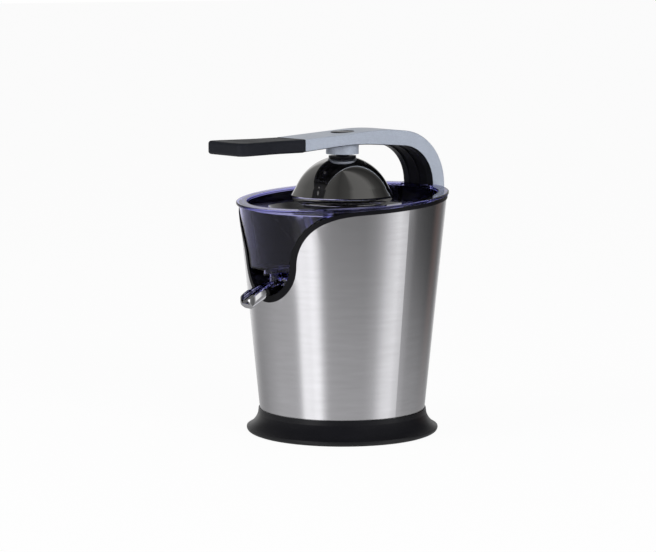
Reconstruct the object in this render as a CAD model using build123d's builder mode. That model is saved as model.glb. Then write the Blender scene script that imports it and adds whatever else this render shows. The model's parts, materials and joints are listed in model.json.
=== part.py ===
from build123d import *
import os
from math import acos, atan, atan2, cos, degrees, hypot, pi, radians, sin, sqrt, tan

# Electric citrus juicer with a lever arm.
# Millimetres. The origin is the centre of the foot ring's underside, +Z is up,
# the spout and the grip point to -Y, and the arm's hinge is at +Y.

# General clearances
overrun = 2.0
fit_gap = 0.3
running_gap = 0.05
seat_gap = 0.2

# Base
base_r = 91.2
base_bottom_inset = 2.2
base_band_height = 5.0
base_neck_wall = 2.16
base_flare_top = 18.0
base_top = 22.6
base_lip = 1.0
base_flare_r_share = 0.42
base_flare_height_share = 0.36
base_ledge = 14.5
base_ledge_thickness = 3.0
base_ledge_overlap = 0.6
plate_seat_width = 2.5
plate_neck_inset = 0.4
base_rim_width = 9.0
foot_proud = 0.8
foot_width = 5.0
foot_depth = 2.2
plate_thickness = 2.6
plate_seat = 1.0
base_post_gap = 0.59
base_screw_count = 4
base_screw_start = 45.0
base_post_r = 4.4
base_post_height = 26.0
vent_count = 9
vent_length = 30.0
vent_width = 3.0
vent_pitch = 8.0
gland_height = 9.3
gland_r = 4.6
gland_bore_r = 3.2
gland_tail = 6.0
gland_nose_inset = 1.2

# Steel shell and the top plane, which rises towards the hinge
shell_r = 78.7
shell_taper_share = 0.1
shell_wall = 0.8
shell_top = 218.6
top_slope_share = 0.0672

# Front opening and its black trim
opening_half_width = 38.0
opening_round_depth = 43.8
opening_flare_x = 89.0
trim_width = 6.2
trim_height = 3.8
trim_proud = 0.7

# Inner housing
housing_wall = 2.2
deck_top = 153.0
deck_thickness = 3.0
tower_top = 194.0
tower_r = 15.0
tower_bore_r = 6.5
pocket_depth_y = 62.0
pocket_wall = 2.0
pocket_gap = 0.4
column_circle_r = 58.0
column_angles = (10.0, 130.0, 250.0)
column_r = 5.0

# Juice bowl
rim_top = 225.4
rim_width = 8.4
rim_thickness = 2.8
rim_edge_r = 1.1
bowl_gap = 1.72
bowl_wall = 1.6
bowl_notch_half_width = 23.0
bowl_notch_y = 92.8
bowl_ledge = 213.4
bowl_ledge_width = 5.0
bowl_floor = 164.0
bowl_lower_taper = 6.0
bay_floor = 160.4
bay_gap = 0.4
bay_back_y = 70.0
bay_step = 2.0
chimney_r = 16.0
chimney_top = 197.0
outlet_y = 80.0
outlet_cup_r = 11.5
outlet_cup_bottom = 155.5
outlet_tube_r = 6.0
outlet_tube_bottom = 150.0
outlet_bore_r = 4.4

# Strainer
strainer_sheet = 0.8
strainer_flange_gap = 3.0
strainer_flange_width = 16.0
strainer_floor = 182.0
strainer_floor_r = 48.0
strainer_collar_r = 18.6
strainer_collar_height = 9.0
strainer_slot_count = 36
strainer_slot_r = 34.0
strainer_slot_length = 17.0
strainer_slot_width = 2.0

# Reamer
reamer_r = 37.0
reamer_bottom = 214.6
reamer_shoulder = 222.0
reamer_top = 248.0
reamer_nose_r = 6.0
reamer_wall = 3.0
reamer_rib_count = 10
reamer_rib_width = 3.0
reamer_rib_height = 3.0
reamer_rib_inset = 1.0
reamer_hub_r = 9.0
reamer_hub_bottom = 202.0
reamer_bulge_share = 0.58
reamer_nose_share = 0.4

# Spout, with its side profile given from the pivot pin forwards and down
spout_pin_y = 67.0
spout_pin_z = 149.5
spout_pin_r = 1.5
spout_pin_length = 30.0
spout_barrel_r = 3.0
spout_half_width = 10.0
spout_wall = 1.2
spout_brow_reach = 38.0
spout_brow_drop = 7.0
spout_tip_reach = 50.0
spout_tip_drop = 14.0
spout_chin_reach = 44.5
spout_chin_drop = 22.9
spout_keel_r = 7.0
spout_nose_r = 7.0
spout_tail_reach = 10.0
spout_tail_drop = 4.9
spout_lip = 4.5
spout_mouth_half_width = 5.5
spout_lug_gap = 0.6
spout_lug_thickness = 3.4
spout_lug_r = 4.0

# Hinge
pivot_y = 103.0
pivot_z = 208.0
pivot_pin_r = 4.0
pivot_eye_r = 8.0
pin_end_inset = 0.5
bracket_half_width = 26.0
bracket_side = 3.4
bracket_wall_y = 92.9
bracket_wall = 1.2
bracket_floor = 197.4
bracket_floor_thickness = 3.4
bracket_top = 228.0
bracket_back_y = 99.0
bracket_front_y = 90.4
ear_half_width = 12.8
ear_r = 8.5
bracket_tongue_bottom = 168.0
bracket_tongue_half_width = 20.0
bracket_tongue_thickness = 3.2
bracket_screw_z = 180.0
bracket_screw_angle = 8.0
bracket_screw_length = 5.0
bush_wall = 1.5
bush_flange = 0.4
bush_flange_wall = 1.6
bush_length = 8.0

# Lever arm, with its side outline as corners that the radii round off
arm_half_width = 22.0
channel_half_width = 13.4
arm_skin = 4.0
arm_front_y = 61.2
arm_front_top = 282.0
arm_front_under = 270.3
arm_crest_y = 38.0
arm_crest_top = 287.9
arm_crest_r = 250.0
arm_bend_y = 106.9
arm_bend_top = 280.0
arm_bend_r = 54.0
under_crest_y = 2.0
under_crest = 275.0
under_crest_r = 300.0
under_bend_y = 90.0
under_bend = 268.2
under_bend_r = 38.0
heel_inset = 0.3
heel_height = 22.0
heel_r = 120.0
arm_edge_r = 1.6
arm_front_wall = 4.0
back_wall_clearance = 3.0
liner_recess = 1.0
liner_thickness = 2.5
liner_gap = 0.2
liner_ridge_width = 3.0
liner_ridge_height = 0.8
liner_foot = 226.0
liner_screw_seat = 1.2
liner_screw_ys = (-38.0, 42.0)
liner_boss_r = 4.0
liner_boss_gap = 0.5

# Grip
grip_length = 79.1
grip_half_width = 27.5
grip_corner_r = 8.0
grip_waist_half_width = 21.3
grip_waist_share = 0.36
grip_thickness = 12.2
grip_top = 281.9
grip_edge_r = 2.6
tang_length = 62.0
tang_half_width = 14.0
tang_thickness = 5.6
tang_bottom = 273.0
tang_gap = 0.2
tang_root = 3.0
grip_screw_shares = (0.25, 0.55)

# Press dome and its tilting mount
dome_r = 47.5
dome_wall = 1.2
dome_centre = 215.5
dome_flare_top = 234.0
dome_lip = 226.0
dome_lip_r = 48.2
dome_lip_round = 7.5
dome_lip_turn = 75.0
socket_r = 15.5
socket_bottom = 264.9
socket_spigot_r = 10.2
socket_top = 279.0
socket_bore_r = 8.2
socket_bore_top = 276.0
neck_r = 13.0
neck_top = 263.1
stem_r = 6.0
stem_top = 274.0
stem_thread_r = 5.0
stem_bottom = 254.0
dome_pin_z = 270.0
dome_pin_r = 2.0
dome_pin_cover = 2.5
nut_r = 8.5
nut_height = 4.5

# Release button on top of the arm
button_r = 11.0
button_gap = 0.3
button_height = 3.4
button_proud = 0.3
button_edge_r = 0.8
button_stem_r = 3.5
button_stem_bottom = 276.6
button_spring_r = 6.5
button_spring_wire = 0.5
button_spring_turns = 3

# Gear train: the motor drives the compound wheel, whose pinion drives the output gear
pressure_angle = 25.0
addendum_share = 0.85
dedendum_share = 1.1
backlash_share = 0.12
drive_module = 1.25
motor_module = 1.0
output_teeth = 56
compound_pinion_teeth = 14
compound_wheel_teeth = 48
motor_pinion_teeth = 12
motor_y = 40.0
gear_plate_top = 115.0
gear_plate_thickness = 3.0
gear_plate_r = 66.0
wheel_bottom = 118.0
wheel_face = 8.0
compound_pinion_face = 17.0
output_gear_bottom = 131.0
output_gear_face = 10.0
output_hub_r = 9.0
output_hub_extra = 3.0
compound_axle_r = 3.0
compound_axle_end = 1.0
axle_boss_r = 6.0
pinion_extra = 1.0

# Shaft, its bushes and its return spring
shaft_r = 5.0
shaft_bottom = 104.0
shaft_top = 224.0
shaft_bush_wall = 2.5
shaft_bush_length = 12.0
lower_bush_length = 9.0
lower_bush_flange = 1.5
lower_bush_flange_wall = 2.0
compound_hub_r = 5.0
seal_height = 2.0
seal_r = 9.0
press_travel = 2.0
cup_r = 9.0
cup_grip = 2.5
cup_floor = 3.0
cup_tab_width = 6.0
cup_tab_end = 3.0
cup_tab_thickness = 2.0
spring_r = 6.5
spring_wire = 1.0
spring_turns = 5
spring_seat = 76.0
switch_bracket_sheet = 2.0
switch_bracket_half_length = 18.0
switch_bracket_half_width = 7.0
switch_bracket_foot = 8.0
switch_bracket_margin = 1.5
switch_width = 8.0
switch_depth = 11.0
switch_top = 96.0
switch_y = 14.0
plunger_r = 1.5
plunger_depth = 4.0
plunger_spare = 0.5

# Motor
motor_r = 30.0
motor_wall = 2.2
motor_bottom = 48.0
motor_end_cap = 4.0
stator_inner_r = 20.0
stator_inset = 8.0
rotor_gap = 0.5
rotor_inset = 10.0
motor_shaft_r = 3.0
motor_bush_r = 6.0
motor_bush_length = 5.0
motor_top_plate = 3.0
motor_shaft_end = 1.0
motor_screw_offset = 16.0

# Screws
screw_r = 1.5
screw_head_r = 3.0
screw_head = 1.5
screw_length = 10.0
short_screw_length = 6.0

# Derived sizes that several pieces share
tilt = atan(top_slope_share)
base_bottom = foot_proud
housing_inset = shell_wall + fit_gap
housing_inner_inset = housing_inset + housing_wall
deck_bottom = deck_top - deck_thickness
gear_plate_bottom = gear_plate_top - gear_plate_thickness
wheel_top = wheel_bottom + wheel_face
rim_bottom = rim_top - rim_thickness
ON_FLOOR = (Align.CENTER, Align.CENTER, Align.MIN)
FROM_TOP = (Align.CENTER, Align.CENTER, Align.MAX)
FROM_FRONT = (Align.CENTER, Align.MIN, Align.MIN)


def shell_radius(z):
    """Outer radius of the steel shell's cone at a height."""
    return shell_r + shell_taper_share * (z - base_top)


bowl_r = shell_radius(bowl_ledge - bowl_wall) - housing_inner_inset - bowl_gap - bowl_wall
rim_r = bowl_r + bowl_wall + rim_width
far = base_r + rim_r
wall_top = rim_top + top_slope_share * rim_r + overrun


def upright_profile(*points):
    """A closed outline of straight runs, given as radius and height."""
    with BuildSketch(Plane.XZ) as profile:
        with BuildLine():
            Polyline(*points, close=True)
        make_face()
    return profile.sketch


def tapered_ring(outer_inset, inner_inset, low, high):
    """Section of a wall between two insets from the shell's outer cone."""
    return upright_profile(
        (shell_radius(low) - outer_inset, low),
        (shell_radius(high) - outer_inset, high),
        (shell_radius(high) - inner_inset, high),
        (shell_radius(low) - inner_inset, low),
    )


def tapered_core(inset, low, high):
    """Section of the solid cone inside an inset from the shell's outer cone."""
    return upright_profile(
        (0, low),
        (shell_radius(low) - inset, low),
        (shell_radius(high) - inset, high),
        (0, high),
    )


top_plane = Plane(origin=(0, 0, shell_top), x_dir=(1, 0, 0), z_dir=(0, -cos(tilt), -sin(tilt)))
rim_plane = Plane(origin=(0, 0, rim_top), x_dir=(1, 0, 0), z_dir=(0, -sin(tilt), cos(tilt)))


def front_opening(half_width, top):
    """The front opening seen from the front: a round bottom that flares out to the top edge."""
    rise = top + opening_round_depth
    flare_r = (opening_flare_x**2 + rise**2 - half_width**2) / (2 * (half_width + rise))
    share = half_width / (half_width + flare_r)
    join_x = opening_flare_x * share
    join_z = (rise - flare_r) * share - opening_round_depth
    with BuildSketch(top_plane) as opening:
        with BuildLine():
            bottom = ThreePointArc(
                (-join_x, join_z), (0, -opening_round_depth - half_width), (join_x, join_z)
            )
            TangentArc(bottom @ 1, (opening_flare_x, top), tangent=bottom % 1)
            TangentArc(bottom @ 0, (-opening_flare_x, top), tangent=(bottom % 0) * -1)
            Polyline(
                (opening_flare_x, top),
                (far, top),
                (far, far),
                (-far, far),
                (-far, top),
                (-opening_flare_x, top),
            )
        make_face()
    return opening.sketch


def above_top(top):
    """Everything above the sloping top edge, seen from the front."""
    with BuildSketch(top_plane) as region:
        with Locations((0, top)):
            Rectangle(2 * far, far, align=(Align.CENTER, Align.MIN))
    return region.sketch


def opening_solid(half_width, top):
    """The space of the front opening and of all that lies above the top edge."""
    with BuildPart() as space:
        extrude(front_opening(half_width, top), amount=far)
        extrude(above_top(top), amount=far, both=True)
    return space.part


def bay_solid(inset, half_width, top, low, back_y, ceiling):
    """The front opening's space inside the shell's cone, from a floor to a ceiling, before back_y."""
    with BuildPart() as space:
        revolve(tapered_core(inset, low, rim_top), axis=Axis.Z)
        extrude(front_opening(half_width, top), amount=far, mode=Mode.INTERSECT)
        with Locations((0, -back_y, 0)):
            Box(2 * far, far, wall_top, align=(Align.CENTER, Align.MAX, Align.MIN), mode=Mode.INTERSECT)
        split(bisect_by=ceiling, keep=Keep.BOTTOM)
    return space.part


def along_x(y, z):
    """Places a shape with its axis along X."""
    return Location((0, y, z), (0, 90, 0))


def screw(length):
    """A pan head screw that points down from the underside of its head at the origin."""
    with BuildPart() as made:
        Cylinder(screw_head_r, screw_head, align=ON_FLOOR)
        fillet(edges().group_by(Axis.Z)[-1], screw_head / 2)
        Cylinder(screw_r, length, align=FROM_TOP)
    return made.part


def coil_spring(radius, wire_r, turns, low, high):
    """An open coil between two heights, with its wire inside them."""
    height = high - low - 2 * wire_r
    with BuildPart() as made:
        with BuildLine():
            path = Helix(height / turns, height, radius, center=(0, 0, low + wire_r))
        with BuildSketch(Plane(origin=path @ 0, z_dir=path % 0)):
            Circle(wire_r)
        sweep()
    return made.part


def gear_face(teeth, module, turn, place):
    """A spur gear's outline with involute flanks, with one tooth centred at an angle."""
    pitch_r = teeth * module / 2
    root_r = pitch_r - dedendum_share * module
    tip_r = pitch_r + addendum_share * module
    base_circle_r = pitch_r * cos(radians(pressure_angle))
    flank_r = max(root_r, base_circle_r)
    half_tooth = pi / (2 * teeth) - backlash_share * module / (2 * pitch_r)

    def involute(angle):
        return tan(angle) - angle

    def half_angle(r):
        return half_tooth + involute(radians(pressure_angle)) - involute(acos(base_circle_r / r))

    def point(r, angle):
        return (r * cos(angle), r * sin(angle))

    middle_r = (flank_r + tip_r) / 2
    step = 2 * pi / teeth
    with BuildSketch() as outline:
        with BuildLine():
            for tooth in range(teeth):
                centre = radians(turn) + tooth * step
                low, middle, high = (half_angle(r) for r in (flank_r, middle_r, tip_r))
                if flank_r > root_r:
                    Line(point(root_r, centre - low), point(flank_r, centre - low))
                ThreePointArc(
                    point(flank_r, centre - low),
                    point(middle_r, centre - middle),
                    point(tip_r, centre - high),
                )
                Line(point(tip_r, centre - high), point(tip_r, centre + high))
                ThreePointArc(
                    point(tip_r, centre + high),
                    point(middle_r, centre + middle),
                    point(flank_r, centre + low),
                )
                if flank_r > root_r:
                    Line(point(flank_r, centre + low), point(root_r, centre + low))
                Line(point(root_r, centre + low), point(root_r, centre + step - low))
        make_face()
    return outline.sketch.moved(Location(place))


# Base skirt: flared outside, with a ledge that carries the shell and the inner housing
ledge_r = shell_radius(base_ledge) - housing_inner_inset - base_ledge_overlap
base_bottom_r = base_r - base_bottom_inset
base_neck_r = shell_radius(base_flare_top) + base_neck_wall
plate_r = min(base_bottom_r - base_rim_width, base_neck_r - plate_neck_inset)
base_inner_r = min(ledge_r, plate_r - plate_seat_width)
base_screw_circle_r = base_inner_r - base_post_r - base_post_gap
flare_mid_r = base_neck_r + base_flare_r_share * (base_r - base_neck_r)
flare_mid_z = base_band_height + base_flare_height_share * (base_flare_top - base_band_height)
plate_top = base_bottom + plate_seat + plate_thickness
groove_r = base_bottom_r - (base_rim_width - foot_width) / 2

with BuildPart() as base_skirt:
    with BuildSketch(Plane.XZ):
        with BuildLine():
            band = ThreePointArc(
                (base_bottom_r, base_bottom),
                ((base_bottom_r + 2 * base_r) / 3, (base_bottom + base_band_height) / 3),
                (base_r, base_band_height),
            )
            flare = ThreePointArc(
                band @ 1, (flare_mid_r, flare_mid_z), (base_neck_r, base_flare_top)
            )
            Polyline(
                flare @ 1,
                (shell_radius(base_top) + seat_gap + base_lip, base_top),
                (shell_radius(base_top) + seat_gap, base_top),
                (shell_radius(base_ledge) + seat_gap, base_ledge),
                (ledge_r, base_ledge),
                (ledge_r, base_ledge - base_ledge_thickness),
                (plate_r - plate_seat_width, base_ledge - base_ledge_thickness),
                (plate_r - plate_seat_width, plate_top),
                (plate_r, plate_top),
                (plate_r, base_bottom),
                band @ 0,
            )
        make_face()
    revolve(axis=Axis.Z)
    with BuildSketch(Plane.XY.offset(base_bottom)):
        Circle(groove_r)
        Circle(groove_r - foot_width, mode=Mode.SUBTRACT)
    extrude(amount=foot_depth, mode=Mode.SUBTRACT)
    with Locations(Location((0, base_r, gland_height), (90, 0, 0))):
        Cylinder(gland_r + running_gap, 2 * (base_r - base_inner_r) + overrun, mode=Mode.SUBTRACT)

# Foot ring: rubber, pressed into the groove under the base
with BuildPart() as foot_ring:
    with BuildSketch():
        Circle(groove_r - running_gap)
        Circle(groove_r - foot_width + running_gap, mode=Mode.SUBTRACT)
    extrude(amount=foot_proud + foot_depth)

# Bottom plate: closes the base, with vents and holes for its screws
with BuildPart() as bottom_plate:
    with BuildSketch(Plane.XY.offset(base_bottom + plate_seat)):
        Circle(plate_r - seat_gap)
    extrude(amount=plate_thickness)
    with BuildSketch(Plane.XY.offset(base_bottom + plate_seat)):
        with GridLocations(0, vent_pitch, 1, vent_count):
            SlotOverall(vent_length, vent_width)
        with PolarLocations(base_screw_circle_r, base_screw_count, base_screw_start):
            Circle(screw_r + running_gap)
    extrude(amount=plate_thickness, mode=Mode.SUBTRACT)

# Base screws: hold the bottom plate to the posts of the inner housing
base_screw = screw(screw_length)
with BuildPart() as base_screws:
    with PolarLocations(base_screw_circle_r, base_screw_count, base_screw_start):
        with Locations(Location((0, 0, base_bottom + plate_seat), (180, 0, 0))):
            add(base_screw)

# Cord gland: a rubber sleeve through the back of the base
with BuildPart() as cord_gland:
    with BuildSketch(Plane.XZ.offset(-base_inner_r + gland_tail)):
        with Locations((0, gland_height)):
            Circle(gland_r)
            Circle(gland_bore_r, mode=Mode.SUBTRACT)
    extrude(amount=-(base_r - gland_nose_inset - base_inner_r + gland_tail))

# Steel shell: one tapered sheet with the front opening and a notch for the hinge bracket
steel_opening = opening_solid(opening_half_width, 0)
trim_opening = opening_solid(opening_half_width - trim_width, trim_height)
notch_half_width = bracket_half_width + seat_gap
notch_bottom = bracket_floor - bracket_floor_thickness

with BuildPart() as steel_shell:
    revolve(tapered_ring(0, shell_wall, base_ledge, wall_top), axis=Axis.Z)
    add(steel_opening, mode=Mode.SUBTRACT)
    with Locations((0, 0, notch_bottom)):
        Box(2 * notch_half_width, far, far, align=FROM_FRONT, mode=Mode.SUBTRACT)

# Edge trim: a black band that caps the shell and the housing round the opening and the top
with BuildPart() as edge_trim:
    revolve(tapered_ring(-trim_proud, housing_inner_inset, base_ledge, wall_top), axis=Axis.Z)
    add(steel_opening, mode=Mode.INTERSECT)
    add(trim_opening, mode=Mode.SUBTRACT)
    with Locations((0, 0, notch_bottom)):
        Box(2 * notch_half_width, far, far, align=FROM_FRONT, mode=Mode.SUBTRACT)

# Places of the gear train, from the centre distances of its two stages
drive_distance = (output_teeth + compound_pinion_teeth) * drive_module / 2
motor_distance = (compound_wheel_teeth + motor_pinion_teeth) * motor_module / 2
compound_angle = acos((drive_distance**2 + motor_y**2 - motor_distance**2) / (2 * drive_distance * motor_y))
compound_x = drive_distance * sin(compound_angle)
compound_y = drive_distance * cos(compound_angle)
drive_turn = degrees(atan2(compound_y, compound_x))
motor_turn = degrees(atan2(motor_y - compound_y, -compound_x))
compound_top = wheel_top + compound_pinion_face
column_places = [
    (column_circle_r * cos(radians(a)), column_circle_r * sin(radians(a))) for a in column_angles
]

# Radial places of the screws that hold the hinge bracket's tongue
tongue_inset = housing_inner_inset + running_gap
tongue_inner_inset = tongue_inset + bracket_tongue_thickness
bracket_screw_r = shell_radius(bracket_screw_z - screw_head_r) - tongue_inner_inset - running_gap
bracket_screw_places = [
    Location((0, 0, bracket_screw_z), (0, 0, 90 + side * bracket_screw_angle))
    * Location((bracket_screw_r, 0, 0), (0, -90, 0))
    for side in (-1, 1)
]

# Inner housing: the black wall behind the steel, with its deck, shaft tower and spout recess
recess_half_width = opening_half_width - trim_width + pocket_gap
deck_plane = Plane.XY.offset(deck_top)
recess_outside = bay_solid(
    housing_inner_inset + running_gap,
    recess_half_width + pocket_wall,
    trim_height,
    base_top,
    pocket_depth_y - pocket_wall,
    deck_plane,
)
recess_inside = bay_solid(0, recess_half_width, trim_height, base_top, pocket_depth_y, deck_plane)
lug_x = spout_half_width + spout_lug_gap + spout_lug_thickness / 2
bush_r = shaft_r + shaft_bush_wall
bush_bottom = tower_top - seal_height - shaft_bush_length

with BuildPart() as spout_lugs:
    for side in (-1, 1):
        with Locations((side * lug_x, -spout_pin_y, spout_pin_z)):
            Cylinder(spout_lug_r, spout_lug_thickness, rotation=(0, 90, 0))
            Box(spout_lug_thickness, 2 * spout_lug_r, spout_pin_z - gear_plate_top, align=FROM_TOP)
    add(recess_outside, mode=Mode.INTERSECT)

with BuildPart() as inner_housing:
    revolve(tapered_ring(housing_inset, housing_inner_inset, base_ledge, wall_top), axis=Axis.Z)
    add(steel_opening, mode=Mode.SUBTRACT)
    with Locations((0, 0, notch_bottom)):
        Box(2 * notch_half_width, far, far, align=FROM_FRONT, mode=Mode.SUBTRACT)
    revolve(tapered_core(housing_inner_inset, deck_bottom, deck_top), axis=Axis.Z)
    add(recess_outside)
    add(recess_inside, mode=Mode.SUBTRACT)
    add(spout_lugs.part)
    with Locations((0, 0, deck_bottom)):
        Cylinder(tower_r, tower_top - deck_bottom, align=ON_FLOOR)
    with Locations(*[(x, y, deck_bottom) for x, y in column_places]):
        Cylinder(column_r, deck_bottom - gear_plate_top, align=FROM_TOP)
    with Locations((compound_x, compound_y, deck_bottom)):
        Cylinder(axle_boss_r, deck_bottom - compound_top - fit_gap, align=FROM_TOP)
    with PolarLocations(base_screw_circle_r, base_screw_count, base_screw_start):
        with Locations((0, 0, plate_top)):
            Cylinder(base_post_r, base_post_height, align=ON_FLOOR)
        with Locations((0, 0, base_ledge)):
            Box(
                shell_radius(base_ledge) - housing_inset - base_screw_circle_r - housing_wall / 2,
                base_post_r,
                base_post_height + plate_top - base_ledge,
                align=(Align.MIN, Align.CENTER, Align.MIN),
            )
        with Locations((0, 0, plate_top)):
            Cylinder(screw_r, screw_length - plate_thickness, align=ON_FLOOR, mode=Mode.SUBTRACT)
    with Locations(along_x(-spout_pin_y, spout_pin_z)):
        Cylinder(spout_pin_r, spout_pin_length, mode=Mode.SUBTRACT)
    with Locations((0, 0, deck_bottom)):
        Cylinder(tower_bore_r, tower_top, align=ON_FLOOR, mode=Mode.SUBTRACT)
    with Locations((0, 0, bush_bottom)):
        Cylinder(bush_r, tower_top, align=ON_FLOOR, mode=Mode.SUBTRACT)
    with Locations((0, 0, tower_top - seal_height)):
        Cylinder(seal_r, tower_top, align=ON_FLOOR, mode=Mode.SUBTRACT)
    with Locations((compound_x, compound_y, compound_top)):
        Cylinder(compound_axle_r, deck_bottom - compound_top, align=ON_FLOOR, mode=Mode.SUBTRACT)
    with Locations(*[(x, y, gear_plate_top) for x, y in column_places]):
        Cylinder(screw_r, screw_length - gear_plate_thickness, align=ON_FLOOR, mode=Mode.SUBTRACT)
    with Locations(*bracket_screw_places):
        Cylinder(screw_r, bracket_screw_length, align=FROM_TOP, mode=Mode.SUBTRACT)

# Hinge bracket: a pocket for the arm's cheeks in the back of the body, with an ear between them
bracket_bush_r = pivot_pin_r + running_gap + bush_wall
bracket_depth = bracket_back_y - bracket_front_y

with BuildPart() as hinge_bracket:
    revolve(
        tapered_ring(tongue_inset, tongue_inner_inset, bracket_tongue_bottom, bracket_floor),
        axis=Axis.Z,
    )
    with Locations((0, 0, bracket_tongue_bottom)):
        Box(2 * bracket_tongue_half_width, far, far, align=FROM_FRONT, mode=Mode.INTERSECT)
    with Locations((0, bracket_wall_y, notch_bottom)):
        Box(2 * bracket_half_width, bracket_wall, bracket_top - notch_bottom, align=FROM_FRONT)
    with Locations((0, bracket_front_y, notch_bottom)):
        Box(2 * bracket_half_width, bracket_depth, bracket_floor_thickness, align=FROM_FRONT)
    for side in (-1, 1):
        with Locations((side * (bracket_half_width - bracket_side / 2), bracket_front_y, notch_bottom)):
            Box(bracket_side, bracket_depth, bracket_top - notch_bottom, align=FROM_FRONT)
    with BuildSketch(Plane.YZ.offset(-ear_half_width)):
        with Locations((pivot_y, pivot_z)):
            Circle(ear_r)
        with Locations((bracket_wall_y, pivot_z)):
            Rectangle(pivot_y - bracket_wall_y, 2 * ear_r, align=(Align.MIN, Align.CENTER))
    extrude(amount=2 * ear_half_width)
    with Locations(along_x(pivot_y, pivot_z)):
        Cylinder(bracket_bush_r, 2 * ear_half_width, mode=Mode.SUBTRACT)
    with Locations(*bracket_screw_places):
        Cylinder(screw_r + running_gap, bracket_screw_length, align=FROM_TOP, mode=Mode.SUBTRACT)

# Bracket screws: from inside, through the tongue into the housing wall
bracket_screw = screw(bracket_screw_length)
with BuildPart() as bracket_screws:
    with Locations(*bracket_screw_places):
        add(bracket_screw)

# Hinge bushes: flanged, one in each side of the ear
with BuildPart() as hinge_bushes:
    for side in (-1, 1):
        with Locations(Location((side * ear_half_width, pivot_y, pivot_z), (0, side * 90, 0))):
            Cylinder(bracket_bush_r, bush_length, align=FROM_TOP)
            Cylinder(bracket_bush_r + bush_flange_wall, bush_flange, align=ON_FLOOR)
    with Locations(along_x(pivot_y, pivot_z)):
        Cylinder(pivot_pin_r + running_gap, far, mode=Mode.SUBTRACT)

# Gear plate: carries the motor, the lower bush, the compound axle and the spring bracket
with BuildPart() as gear_plate:
    with BuildSketch(Plane.XY.offset(gear_plate_bottom)):
        Circle(gear_plate_r)
        Circle(bush_r, mode=Mode.SUBTRACT)
        with Locations((0, motor_y)):
            Circle(motor_bush_r, mode=Mode.SUBTRACT)
        with Locations((compound_x, compound_y)):
            Circle(compound_axle_r, mode=Mode.SUBTRACT)
        with Locations(*column_places):
            Circle(screw_r + running_gap, mode=Mode.SUBTRACT)
        with Locations((0, motor_y)):
            with GridLocations(2 * motor_screw_offset, 0, 2, 1):
                Circle(screw_r + running_gap, mode=Mode.SUBTRACT)
        with GridLocations(2 * (switch_bracket_half_length + switch_bracket_foot / 2), 0, 2, 1):
            Circle(screw_r, mode=Mode.SUBTRACT)
    extrude(amount=gear_plate_thickness)

# Plate screws: hold the gear plate to the housing's columns
plate_screw = screw(screw_length)
with BuildPart() as plate_screws:
    with Locations(*[Location((x, y, gear_plate_bottom), (180, 0, 0)) for x, y in column_places]):
        add(plate_screw)

# Drive screws: hold the motor and the spring bracket to the gear plate
bracket_foot_x = switch_bracket_half_length + switch_bracket_foot / 2
foot_bottom = gear_plate_bottom - switch_bracket_sheet
short_screw = screw(short_screw_length)
with BuildPart() as drive_screws:
    with Locations(*[(side * motor_screw_offset, motor_y, gear_plate_top) for side in (-1, 1)]):
        add(short_screw)
    with Locations(*[Location((side * bracket_foot_x, 0, foot_bottom), (180, 0, 0)) for side in (-1, 1)]):
        add(short_screw)

# Compound axle and gears
with BuildPart() as compound_axle:
    with Locations((compound_x, compound_y, gear_plate_bottom)):
        Cylinder(compound_axle_r, deck_bottom - compound_axle_end - gear_plate_bottom, align=ON_FLOOR)

wheel_place = (compound_x, compound_y, wheel_bottom)
pinion_place = (compound_x, compound_y, wheel_top)
pinion_turn = drive_turn + 180 + 180 / compound_pinion_teeth
with BuildPart() as compound_gear:
    extrude(gear_face(compound_wheel_teeth, motor_module, motor_turn, wheel_place), amount=wheel_face)
    extrude(
        gear_face(compound_pinion_teeth, drive_module, pinion_turn, pinion_place),
        amount=compound_pinion_face,
    )
    with Locations((compound_x, compound_y, gear_plate_top + running_gap)):
        Cylinder(compound_hub_r, wheel_bottom - gear_plate_top - running_gap, align=ON_FLOOR)
        Cylinder(compound_axle_r + running_gap, far, align=ON_FLOOR, mode=Mode.SUBTRACT)

output_place = (0, 0, output_gear_bottom)
with BuildPart() as output_gear:
    extrude(gear_face(output_teeth, drive_module, drive_turn, output_place), amount=output_gear_face)
    with Locations(output_place):
        Cylinder(output_hub_r, output_gear_face + output_hub_extra, align=ON_FLOOR)
        Cylinder(shaft_r, output_gear_face + output_hub_extra, align=ON_FLOOR, mode=Mode.SUBTRACT)

motor_pinion_place = (0, motor_y, wheel_bottom)
motor_pinion_turn = motor_turn + 180 + 180 / motor_pinion_teeth
motor_pinion_face = wheel_face + pinion_extra
with BuildPart() as motor_pinion:
    extrude(
        gear_face(motor_pinion_teeth, motor_module, motor_pinion_turn, motor_pinion_place),
        amount=motor_pinion_face,
    )
    with Locations(motor_pinion_place):
        Cylinder(motor_shaft_r, motor_pinion_face, align=ON_FLOOR, mode=Mode.SUBTRACT)

# Motor: can, end cap, field core, bushes and rotor under the gear plate
motor_inner_r = motor_r - motor_wall
motor_height = gear_plate_bottom - motor_bottom
cap_bottom = motor_bottom - motor_end_cap

with BuildPart() as motor_can:
    with Locations((0, motor_y, motor_bottom)):
        Cylinder(motor_r, motor_height, align=ON_FLOOR)
        Cylinder(motor_inner_r, motor_height - motor_top_plate, align=ON_FLOOR, mode=Mode.SUBTRACT)
        Cylinder(motor_bush_r, motor_height, align=ON_FLOOR, mode=Mode.SUBTRACT)
    with Locations((0, motor_y, gear_plate_bottom)):
        with GridLocations(2 * motor_screw_offset, 0, 2, 1):
            Cylinder(screw_r, motor_top_plate, align=FROM_TOP, mode=Mode.SUBTRACT)

with BuildPart() as motor_end:
    with Locations((0, motor_y, cap_bottom)):
        Cylinder(motor_r, motor_end_cap, align=ON_FLOOR)
        Cylinder(motor_bush_r, motor_end_cap, align=ON_FLOOR, mode=Mode.SUBTRACT)

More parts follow.
